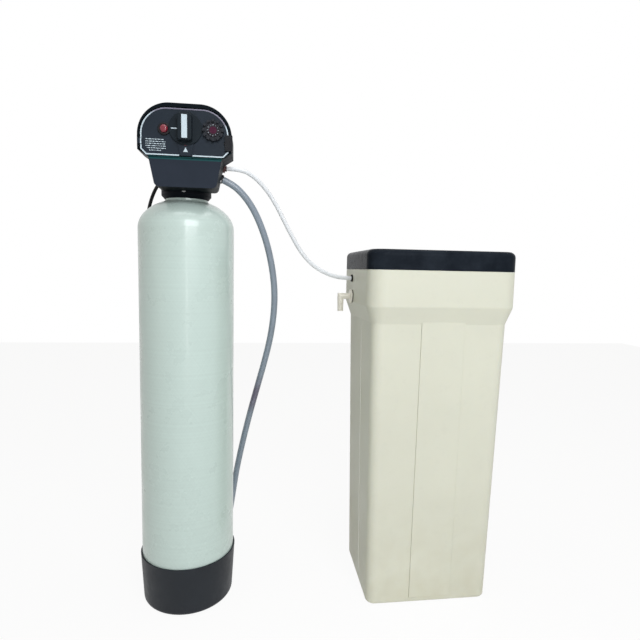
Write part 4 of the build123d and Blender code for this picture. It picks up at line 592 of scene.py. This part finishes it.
def beads(name, colour):
    """Packed resin beads, with painted shade: each bead lighter in its middle and darker where it meets the
    next.
    """
    material, tree, shader = start_material(name)
    vector = place(tree)
    cells = node(tree, "ShaderNodeTexVoronoi", {"Vector": vector, "Scale": 1400.0})
    # Painted shade: lighter in each bead's middle, darker towards its edge
    shade = stretch(tree, cells.outputs["Distance"], 0.0, 0.7)
    feed(
        tree, shader, rough=0.35,
        colour=mixed(tree, shade, rgba(colour, 1.3), rgba(colour, 0.5)),
        normal=bumped(tree, shade, 0.6, -0.0006, softened(tree, 0.0003)[0]),
    )
    return material


def foam(name, colour):
    """Closed-cell foam of the float, with painted shade: darker in the hollow of each cell."""
    material, tree, shader = start_material(name)
    vector = place(tree)
    cells = node(tree, "ShaderNodeTexVoronoi", {"Vector": vector, "Scale": 700.0}).outputs["Distance"]
    # Painted shade: each cell is darker in its hollow middle
    feed(
        tree, shader, rough=0.7,
        colour=mixed(tree, cells, rgba(colour, 0.9), rgba(colour)),
        normal=bumped(tree, cells, 0.35, 0.0005, softened(tree, 0.0005)[0]),
    )
    return material


def slot_materials():
    """One material for each slot of the record."""
    tint = colours()
    return {
        "black_plastic": moulded(
            "Boot plastic", tint.boot, rough=0.45, mottle=0.3, bump=0.16, grain=500.0, specular=0.22
        ),
        "vessel_fibreglass": wound_fibreglass("Wound fibreglass", tint.vessel),
        "grey_plastic": moulded("Grey plastic", (0.32, 0.33, 0.34)),
        "white_plastic": moulded("White plastic", (0.80, 0.80, 0.77), mottle=0.04, wear=0.1),
        "resin_beads": beads("Resin beads", (0.50, 0.30, 0.10)),
        "black_noryl": moulded(
            "Glass-filled plastic", (0.005, 0.007, 0.011), rough=0.5, bump=0.2, grain=1600.0, specular=0.1
        ),
        "seal_rubber": rubber("Seal rubber", (0.020, 0.020, 0.021)),
        "piston_coat": moulded("Piston coating", (0.16, 0.19, 0.16), rough=0.25),
        "yoke_brass": metal("Cast brass", (0.62, 0.44, 0.20), rough=0.36),
        "clip_steel": metal("Clip steel", (0.55, 0.56, 0.58)),
        "bright_steel": metal("Zinc-plated steel", (0.62, 0.63, 0.64)),
        "dark_brass": metal("Dull brass", (0.30, 0.20, 0.10), rough=0.45),
        "nut_brown": moulded("Brown nut", (0.075, 0.020, 0.018), rough=0.35),
        "clamp_black": moulded("Blackened clamp", (0.010, 0.010, 0.012), rough=0.35, wear=0.6, specular=0.2),
        "cover_black": cover_plastic("Head cover plastic"),
        "panel_charcoal": moulded(
            "Panel plastic", tint.panel, rough=0.40, grain=1500.0, mottle=0.28, wear=0.1, specular=0.1
        ),
        "border_white": border_print("Printed border", tint.border),
        "motor_steel": metal("Motor can", (0.55, 0.56, 0.57)),
        "bezel_red": moulded("Bezel plastic", (0.008, 0.007, 0.009), rough=0.30, specular=0.2),
        "knob_black": moulded(
            "Knob plastic", tint.skirt, rough=0.34, mottle=0.16, grain=1300.0, wear=0.35, specular=0.06
        ),
        "dial_dark": moulded(
            "Dial plastic", (0.020, 0.023, 0.030), rough=0.40, mottle=0.25, wear=0.6, specular=0.12
        ),
        "dial_crimson": hub_finish("Dial hub"),
        "button_red": moulded(
            "Button plastic", tint.button, rough=0.16, bump=0.02, wear=0.0, coat=0.3, coat_rough=0.06
        ),
        "latch_black": moulded("Latch plastic", (0.007, 0.008, 0.011), rough=0.38, wear=0.4, specular=0.12),
        "brine_cream": rotomoulded("Rotomoulded tank", tint.brine_tank),
        # The lid's lighter patches are partly dust and partly a painted sheen
        "lid_black": moulded(
            "Lid plastic", tint.lid, rough=0.24, grain=420.0, bump=0.04, mottle=0.18, edge=0.001, dust_and_sheen=0.35,
            specular=0.014,
        ),
        "white_tube": clear_tube("Polyethylene tube", tint.tube),
        "overflow_white": moulded("Overflow plastic", (0.88, 0.85, 0.76), rough=0.3, mottle=0.05, wear=0.05),
        "float_foam": foam("Float foam", (0.82, 0.82, 0.79)),
        "hose_vinyl": vinyl_hose("Vinyl hose"),
        "cord_black": rubber("Cord jacket", (0.010, 0.010, 0.011), rough=0.48),
    }


# Piece helpers


def new_piece(name, data, slot, body="softener"):
    """An object with its slot's material, on a CAD body."""
    made = bpy.data.objects.new(name, data)
    bpy.context.scene.collection.objects.link(made)
    data.materials.append(MATERIALS[slot])
    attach(made, body)
    return made


def mesh_from(name, shape):
    """A mesh out of a bmesh, with its normals outwards."""
    bmesh.ops.recalc_face_normals(shape, faces=shape.faces)
    mesh = bpy.data.meshes.new(name)
    shape.to_mesh(mesh)
    shape.free()
    return mesh


def printed(name, outlines, front_y, slot, body):
    """Thin raised print on a face that looks to the front; outlines are in the front view."""
    shape = bmesh.new()
    for outline in outlines:
        rings = [
            [shape.verts.new((x * MM, depth * MM, z * MM)) for x, z in outline]
            for depth in (front_y, front_y - PRINT_THICK)
        ]
        for ring in rings:
            shape.faces.new(ring)
        count = len(outline)
        for index in range(count):
            after = (index + 1) % count
            shape.faces.new([rings[0][index], rings[0][after], rings[1][after], rings[1][index]])
    return new_piece(name, mesh_from(name, shape), slot, body)


def pill(x, z, length, height):
    """Outline of a short dash with rounded ends, from its left end."""
    radius, steps = height / 2, 3
    points = []
    for centre_x, start in ((x + length - radius, -pi / 2), (x + radius, pi / 2)):
        for step in range(steps + 1):
            angle = start + pi * step / steps
            points.append((centre_x + radius * cos(angle), z + radius * sin(angle)))
    return points


def skin(shape, rings):
    """Faces between rings of vertices, closed at both ends."""
    loops = [[shape.verts.new(point) for point in ring] for ring in rings]
    for low, high in zip(loops, loops[1:]):
        count = len(low)
        for index in range(count):
            after = (index + 1) % count
            shape.faces.new([low[index], low[after], high[after], high[index]])
    shape.faces.new(loops[0])
    shape.faces.new(loops[-1])


def ring_of(centre, across, up, half_w, half_h, power=2.0, steps=24):
    """A ring in the plane of two directions; a higher power is squarer."""
    points = []
    for step in range(steps):
        angle = 2 * pi * step / steps
        c, s = cos(angle), sin(angle)
        side = half_w * abs(c) ** (2 / power) * (1 if c >= 0 else -1)
        rise = half_h * abs(s) ** (2 / power) * (1 if s >= 0 else -1)
        points.append(centre + across * side + up * rise)
    return points


def smooth(piece):
    """Smooth shading on a piece's mesh."""
    for face in piece.data.polygons:
        face.use_smooth = True
    return piece


def round_curve(name, points, diameter, slot):
    """A round cord or hose as one open spline through its route."""
    curve = bpy.data.curves.new(name, "CURVE")
    curve.dimensions = "3D"
    curve.bevel_depth = diameter / 2
    curve.bevel_resolution = 6
    curve.resolution_u = 8
    curve.use_fill_caps = True
    spline = curve.splines.new("NURBS")
    spline.points.add(len(points) - 1)
    for knot, point in zip(spline.points, points):
        knot.co = (*(value * MM for value in point), 1.0)
    spline.order_u = 3
    spline.use_endpoint_u = True
    spline.use_smooth = True
    return new_piece(name, curve, slot)


def coil_point(turn):
    """A point of the put-away coil, some turns along it."""
    angle = 2 * pi * turn
    inner_r = COIL_R - COIL_PITCH * COIL_TURNS_IN
    radius = inner_r + COIL_PITCH * abs(turn - COIL_TURNS_IN)
    climb = min(max((turn - COIL_TURNS_IN) / CLIMB_TURNS + 0.5, 0), 1)
    end_x, end_y, end_z = CORD_ROUTE[-1]
    height = end_z + COIL_PITCH * climb ** 2 * (3 - 2 * climb)
    reach = radius / cos(pi / POINTS_PER_TURN)
    return (end_x + COIL_R - reach * cos(angle), end_y + reach * sin(angle), height)


def coil_route():
    """The coil's points, and its straight end before the plug."""
    count = round(COIL_TURNS * POINTS_PER_TURN)
    points = [coil_point(index / POINTS_PER_TURN) for index in range(1, count)]
    inner_r = COIL_R - COIL_PITCH * COIL_TURNS_IN
    last_r = inner_r + COIL_PITCH * (COIL_TURNS - COIL_TURNS_IN)
    centre_x, centre_y = CORD_ROUTE[-1][0] + COIL_R, CORD_ROUTE[-1][1]
    top_z = CORD_ROUTE[-1][2] + COIL_PITCH
    points.append((centre_x, centre_y + last_r, top_z))
    points.append((centre_x + COIL_TAIL, centre_y + last_r, top_z))
    return points


class SOFTENER_OT_finishes(bpy.types.Operator):
    """Gives every CAD node its finish"""

    bl_idname = "softener.finishes"
    bl_label = "Finishes"

    def execute(self, context):
        MATERIALS.update(slot_materials())
        for part in frame["record"]["subparts"]:
            piece = frame["nodes"][part["node"]]
            if not piece.material_slots:
                piece.data.materials.append(None)
            for holder in piece.material_slots:
                holder.material = MATERIALS[part["material_slot"]]
        return {"FINISHED"}


class SOFTENER_OT_stage(bpy.types.Operator):
    """Camera, white floor and backdrop, and soft lamps"""

    bl_idname = "softener.stage"
    bl_label = "Stage"

    def execute(self, context):
        place_camera()
        make_floor()
        make_world()
        make_lamps()
        return {"FINISHED"}


def place_camera():
    """The camera at the photograph's viewpoint."""
    forward = Vector((-sin(CAMERA_YAW), cos(CAMERA_YAW), 0.0))
    right = Vector((cos(CAMERA_YAW), sin(CAMERA_YAW), 0.0))
    look = forward * cos(CAMERA_PITCH) - AXIS_Z * sin(CAMERA_PITCH)
    rise = AXIS_Z * cos(CAMERA_PITCH) + forward * sin(CAMERA_PITCH)
    side = right * cos(CAMERA_ROLL) + rise * sin(CAMERA_ROLL)
    top = rise * cos(CAMERA_ROLL) - right * sin(CAMERA_ROLL)
    data = bpy.data.cameras.new("Photo camera")
    data.sensor_width = SENSOR_WIDTH
    data.lens = CAMERA_LENS
    camera = bpy.data.objects.new("Photo camera", data)
    camera.matrix_world = Matrix.Translation(CAMERA_PLACE) @ Matrix((side, top, -look)).transposed().to_4x4()
    bpy.context.scene.collection.objects.link(camera)
    bpy.context.scene.camera = camera


def seen_directly(tree):
    """1 for rays from the camera and for those that glossy and clear surfaces send out."""
    path = node(tree, "ShaderNodeLightPath").outputs
    seen = math(tree, "MAXIMUM", path["Is Camera Ray"], path["Is Glossy Ray"])
    return math(tree, "MAXIMUM", seen, path["Is Transmission Ray"])


def make_floor():
    """A pale floor that stays white in the picture and keeps the object's shadow."""
    shape = bmesh.new()
    corners = [(-1, -1), (1, -1), (1, 1), (-1, 1)]
    shape.faces.new([shape.verts.new((FLOOR_X + FLOOR_HALF * x, FLOOR_HALF * y, 0.0)) for x, y in corners])
    floor = bpy.data.objects.new("Floor", mesh_from("Floor", shape))
    bpy.context.scene.collection.objects.link(floor)
    material = bpy.data.materials.new("Floor")
    material.use_nodes = True
    tree = material.node_tree
    tree.nodes.clear()
    colour = mixed(tree, noise(tree, place(tree), 3.0), rgba(WHITE, 0.93), rgba(WHITE, 0.95))
    pale = node(tree, "ShaderNodeBsdfDiffuse", {"Color": colour})
    glow = node(tree, "ShaderNodeEmission", {"Color": rgba(WHITE), "Strength": 1.0})
    share = math(tree, "MULTIPLY", seen_directly(tree), FLOOR_GLOW)
    both = node(tree, "ShaderNodeMixShader", {0: share, 1: pale.outputs[0], 2: glow.outputs[0]})
    node(tree, "ShaderNodeOutputMaterial", {"Surface": both.outputs[0]})
    floor.data.materials.append(material)


def make_world():
    """A white backdrop, and dim, slightly warm light from all round."""
    world = bpy.data.worlds.new("Studio")
    world.use_nodes = True
    tree = world.node_tree
    tree.nodes.clear()
    white = node(tree, "ShaderNodeBackground", {"Color": rgba(WHITE), "Strength": 1.0})
    ambient = node(tree, "ShaderNodeBackground", {"Color": rgba(AMBIENT_TINT), "Strength": AMBIENT})
    inputs = {0: seen_directly(tree), 1: ambient.outputs[0], 2: white.outputs[0]}
    both = node(tree, "ShaderNodeMixShader", inputs)
    node(tree, "ShaderNodeOutputWorld", {"Surface": both.outputs[0]})
    bpy.context.scene.world = world


def add_lamp(name, spot, target, size, power, tint=WHITE):
    """A soft rectangular lamp that looks at a point."""
    data = bpy.data.lights.new(name, "AREA")
    data.shape = "RECTANGLE"
    data.size, data.size_y = size
    data.energy = power
    data.color = tint
    lamp = bpy.data.objects.new(name, data)
    lamp.location = spot
    lamp.rotation_euler = (Vector(target) - Vector(spot)).to_track_quat("-Z", "Y").to_euler()
    bpy.context.scene.collection.objects.link(lamp)


def make_lamps():
    """A main lamp at the front right, a narrow window, a weak fill from the left and a panel above."""
    middle = (0.28, 0.0, 0.5)
    add_lamp("Front softbox", (0.75, -2.3, 1.75), middle, (1.3, 1.6), 41.0, (0.96, 0.98, 1.0))
    add_lamp("Window strip", (0.26, -2.1, 1.0), (0.0, 0.0, 0.6), (0.08, 1.9), 2.8)
    add_lamp("Left fill", (-1.9, -1.2, 0.9), middle, (1.0, 1.6), 0.9, (1.0, 0.90, 0.74))
    add_lamp("Top panel", (0.3, -0.2, 2.6), middle, (2.0, 1.2), 18.0)


class SOFTENER_OT_hoses(bpy.types.Operator):
    """Brine line and drain hose"""

    bl_idname = "softener.hoses"
    bl_label = "Hoses"

    def execute(self, context):
        line = round_curve("line_tube", BRINE_ROUTE, sizes().brine_line, "white_tube")
        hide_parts("brine_line")
        hose = round_curve("hose_tube", DRAIN_ROUTE, sizes().drain_hose, "hose_vinyl")
        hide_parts("drain_hose")
        return {"FINISHED"}


class SOFTENER_OT_cord(bpy.types.Operator):
    """Power cord with its put-away coil, tie and plug"""

    bl_idname = "softener.cord"
    bl_label = "Power cord"

    def execute(self, context):
        cord = round_curve("mains_cord", CORD_ROUTE + coil_route(), sizes().power_cord, "cord_black")
        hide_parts("power_cord", "cord_coil")
        plug = make_plug()
        buckle = make_buckle()
        return {"FINISHED"}


def make_plug():
    """Moulded plug: ribbed sleeve, waisted grip and two blades."""
    end = Vector(coil_route()[-1])
    shape = bmesh.new()
    rings = []
    steps = SLEEVE_RIBS * STEPS_PER_RIB
    for index in range(steps + 1):
        share = index / steps
        on_rib = index % STEPS_PER_RIB in (1, 2)
        radius = SLEEVE_R + SLEEVE_GROWTH * share + (RIB_RISE if on_rib else RIB_DIP)
        rings.append(ring_of(end + AXIS_X * PLUG_SLEEVE * share, AXIS_Y, AXIS_Z, radius, radius))
    body = [  # share of the length, width and height, squareness
        (0.0, 0.62, 0.60, 2.4), (0.05, 0.90, 0.88, 3.2), (0.12, 1.0, 1.0, 4.0), (0.35, 0.94, 0.96, 4.0),
        (0.55, 0.88, 0.94, 4.0), (0.75, 0.94, 0.96, 4.0), (0.92, 1.0, 1.0, 4.0), (0.98, 0.97, 0.97, 4.0),
        (1.0, 0.92, 0.92, 3.6),
    ]
    for share, wide, high, power in body:
        centre = end + AXIS_X * (PLUG_SLEEVE + PLUG_LENGTH * share)
        half_w, half_h = PLUG_WIDTH / 2 * wide, PLUG_HEIGHT / 2 * high
        rings.append(ring_of(centre, AXIS_Y, AXIS_Z, half_w, half_h, power))
    skin(shape, [[point * MM for point in ring] for ring in rings])
    plug = smooth(new_piece("plug_moulding", mesh_from("plug_moulding", shape), "cord_black"))
    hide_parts("cord_plug")
    face_x = PLUG_SLEEVE + PLUG_LENGTH
    shape = bmesh.new()
    for side in (-1, 1):
        rings = []
        for reach, scale in ((-BLADE_ROOT, 1.0), (BLADE_LENGTH - BLADE_TAPER, 1.0), (BLADE_LENGTH, 0.7)):
            centre = end + AXIS_X * (face_x + reach) + AXIS_Y * side * BLADE_PITCH / 2
            half_w, half_h = BLADE_THICK / 2 * scale, BLADE_WIDTH / 2 * (scale + 1) / 2
            rings.append(ring_of(centre, AXIS_Y, AXIS_Z, half_w, half_h, power=8.0, steps=16))
        skin(shape, [[point * MM for point in ring] for ring in rings])
    blades = new_piece("plug_blades", mesh_from("plug_blades", shape), "bright_steel")
    blades.parent = plug
    blades.matrix_parent_inverse = plug.matrix_world.inverted()
    return plug


def make_buckle():
    """Small ratchet head on the coil's tie."""
    low, high = (Vector(corner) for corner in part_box("cord_tie"))
    shape = bmesh.new()
    centre = Vector(((low.x + high.x) / 2, high.y - BUCKLE_FROM_REAR * MM, high.z))
    rings = [
        ring_of(centre + AXIS_Z * rise * MM, AXIS_X, AXIS_Y, half * MM, BUCKLE_HALF_L * MM, power=6.0)
        for rise, half in BUCKLE_PROFILE
    ]
    skin(shape, rings)
    return new_piece("tie_buckle", mesh_from("tie_buckle", shape), "cord_black")


class SOFTENER_OT_panel_marks(bpy.types.Operator):
    """Plain printed lines, pointer and marks on the timer panel"""

    bl_idname = "softener.panel_marks"
    bl_label = "Panel marks"

    def execute(self, context):
        lots = Random(11)
        dashes = []
        for index, (left, right) in enumerate(PRINT_ROWS):
            x, z = left, PRINT_TOP_Z - PRINT_PITCH * index
            while x < right - DASH_HEIGHT:
                length = min(lots.choice(DASH_LENGTHS), right - x)
                dashes.append(pill(x, z, max(length, DASH_LENGTHS[0]), DASH_HEIGHT))
                x += length + DASH_GAP
        printed("printed_lines", dashes, PANEL_Y, "border_white", "timer")
        left, right = BORDER_LEFT_X, BORDER_LEFT_X + BORDER_W
        strip = [(left, LEAF_LOW_Z), (right, LEAF_LOW_Z), (right, LEAF_TOP_Z), (left, LEAF_TOP_Z)]
        printed("leaf_line", [strip], LEAF_FRONT_Y, "border_white", "timer")
        left, right = KNOB_X - POINTER_HALF_W, KNOB_X + POINTER_HALF_W
        pointer = [(KNOB_X, POINTER_TIP_Z), (left, POINTER_FOOT_Z), (right, POINTER_FOOT_Z)]
        printed("pointer_mark", [pointer], TAB_FRONT_Y, "border_white", "timer")
        spot = pill(KNOB_X - SPOT_LENGTH / 2, SPOT_Z, SPOT_LENGTH, SPOT_HEIGHT)
        printed("pointer_spot", [spot], TAB_FRONT_Y, "button_red", "timer")
        return {"FINISHED"}


class SOFTENER_OT_knob_mark(bpy.types.Operator):
    """White line on the knob's skirt"""

    bl_idname = "softener.knob_mark"
    bl_label = "Knob mark"

    def execute(self, context):
        mark = pill(KNOB_X - MARK_REACH, KNOB_Z - MARK_DROP, MARK_LENGTH, MARK_HEIGHT)
        printed("knob_mark", [mark], SKIRT_FRONT_Y, "border_white", "knob")
        return {"FINISHED"}


class SOFTENER_OT_dial_numbers(bpy.types.Operator):
    """Numbers round the program dial's hub"""

    bl_idname = "softener.dial_numbers"
    bl_label = "Dial numbers"

    def execute(self, context):
        shape = bmesh.new()
        middle = Vector((DIAL_X, HUB_FRONT_Y - PRINT_THICK / 2, DIAL_Z))
        for number in range(1, NUMBERS + 1):
            text = bpy.data.curves.new("Number", "FONT")
            text.body = str(number)
            text.size = NUMBER_HEIGHT * MM
            text.extrude = PRINT_THICK / 2 * MM
            text.align_x, text.align_y = "CENTER", "CENTER"
            carrier = bpy.data.objects.new("Number", text)
            mesh = bpy.data.meshes.new_from_object(carrier)
            angle = 2 * pi * number / NUMBERS
            spot = middle + (AXIS_X * sin(angle) + AXIS_Z * cos(angle)) * NUMBER_RING_R
            turn = Matrix.Rotation(angle, 4, "Y") @ Matrix.Rotation(pi / 2, 4, "X")
            mesh.transform(Matrix.Translation(spot * MM) @ turn)
            shape.from_mesh(mesh)
            bpy.data.objects.remove(carrier)
            bpy.data.meshes.remove(mesh)
            bpy.data.curves.remove(text)
        new_piece("dial_numbers", mesh_from("dial_numbers", shape), "border_white", "dial")
        return {"FINISHED"}


class SOFTENER_OT_fasteners(bpy.types.Operator):
    """Screw of the hose clamp"""

    bl_idname = "softener.fasteners"
    bl_label = "Fasteners"

    def execute(self, context):
        low, high = (Vector(corner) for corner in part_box("hose_clamp"))
        centre = Vector(((low.x + high.x) / 2, low.y + SCREW_IN * MM, low.z + SCREW_IN * MM))
        shape = bmesh.new()
        rings = [
            ring_of(centre - AXIS_Y * reach * MM, AXIS_X, AXIS_Z, half * MM, half * MM, power)
            for reach, half, power in SCREW_PROFILE
        ]
        skin(shape, rings)
        new_piece("clamp_screw", mesh_from("clamp_screw", shape), "bright_steel")
        return {"FINISHED"}


class SOFTENER_OT_parting_ridges(bpy.types.Operator):
    """Ridges that the mould's parting line leaves on the brine tank's side walls"""

    bl_idname = "softener.parting_ridges"
    bl_label = "Parting ridges"

    def execute(self, context):
        # The ridge's pale colour is a painted highlight; its low roughness, specular and coat are real gloss
        pale = moulded(
            "Ridge with painted highlight", (0.90, 0.89, 0.82), rough=0.16, mottle=0.06, wear=0.1, specular=0.8, coat=0.6,
            coat_rough=0.10,
        )
        for name, side in (("parting_ridge_left", -1), ("parting_ridge_right", 1)):
            rings = []
            for index in range(RIDGE_STEPS + 1):
                z = RIDGE_LOW_Z + (RIDGE_TOP_Z - RIDGE_LOW_Z) * index / RIDGE_STEPS
                half = BASE_HALF_W + (BODY_HALF_W - BASE_HALF_W) * z / BODY_TOP
                share = min(index, RIDGE_STEPS - index, RIDGE_TAPER_STEPS) / RIDGE_TAPER_STEPS
                centre = Vector((BRINE_X + side * half, RIDGE_Y + RIDGE_WAVE * sin(index), z))
                width, height = (end + (full - end) * share for end, full in zip(RIDGE_END, RIDGE_FULL))
                rings.append(ring_of(centre, AXIS_Y, AXIS_X, width, height, steps=12))
            shape = bmesh.new()
            skin(shape, [[point * MM for point in ring] for ring in rings])
            ridge = new_piece(name, mesh_from(name, shape), "brine_cream")
            ridge.data.materials[0] = pale
            smooth(ridge)
        return {"FINISHED"}


class SOFTENER_OT_threads(bpy.types.Operator):
    """Threads on the two pipe stubs"""

    bl_idname = "softener.threads"
    bl_label = "Pipe threads"

    def execute(self, context):
        steps = 40
        turns = (PIPE_TO_Y - PIPE_FROM_Y - 2 * THREAD_GAP) / THREAD_PITCH
        for name, port_x in (("inlet_thread", PORT_X), ("outlet_thread", -PORT_X)):
            shape = bmesh.new()
            rings = []
            for index in range(round(turns * steps) + 1):
                angle = 2 * pi * index / steps
                run = PIPE_FROM_Y + THREAD_GAP + THREAD_PITCH * index / steps
                out = Vector((cos(angle), 0.0, sin(angle)))
                axis = Vector((port_x, run, PORT_Z))
                rings.append([
                    (axis + out * (PIPE_R + rise) + AXIS_Y * shift) * MM for rise, shift in THREAD_PROFILE
                ])
            skin(shape, rings)
            new_piece(name, mesh_from(name, shape), "yoke_brass")
        return {"FINISHED"}


class SOFTENER_PT_parts(bpy.types.Panel):
    """Lists the pieces and their settings"""

    bl_idname = "SOFTENER_PT_parts"
    bl_label = "Water softener"
    bl_space_type = "VIEW_3D"
    bl_region_type = "UI"
    bl_category = "Softener"

    def draw(self, context):
        column = self.layout.column()
        for operator in OPERATORS:
            column.operator(operator.bl_idname)
        for group in (context.scene.softener_sizes, context.scene.softener_colours):
            for name in group.__annotations__:
                column.prop(group, name)


MATERIALS = {}
OPERATORS = (
    SOFTENER_OT_finishes, SOFTENER_OT_stage, SOFTENER_OT_hoses, SOFTENER_OT_cord, SOFTENER_OT_panel_marks,
    SOFTENER_OT_knob_mark, SOFTENER_OT_dial_numbers, SOFTENER_OT_fasteners, SOFTENER_OT_threads,
    SOFTENER_OT_parting_ridges,
)
CLASSES = (SoftenerSizes, SoftenerColours, *OPERATORS, SOFTENER_PT_parts)


def register():
    """Adds the classes and the scene's settings."""
    for made in CLASSES:
        bpy.utils.register_class(made)
    bpy.types.Scene.softener_sizes = PointerProperty(type=SoftenerSizes)
    bpy.types.Scene.softener_colours = PointerProperty(type=SoftenerColours)


def unregister():
    """Takes the classes and settings away again."""
    del bpy.types.Scene.softener_colours
    del bpy.types.Scene.softener_sizes
    for made in reversed(CLASSES):
        bpy.utils.unregister_class(made)


def main():
    """Builds the whole picture."""
    register()
    bpy.context.scene.view_settings.view_transform = "Standard"
    for operator in OPERATORS:
        group, name = operator.bl_idname.split(".")
        getattr(getattr(bpy.ops, group), name)()


if __name__ == "__main__":
    main()
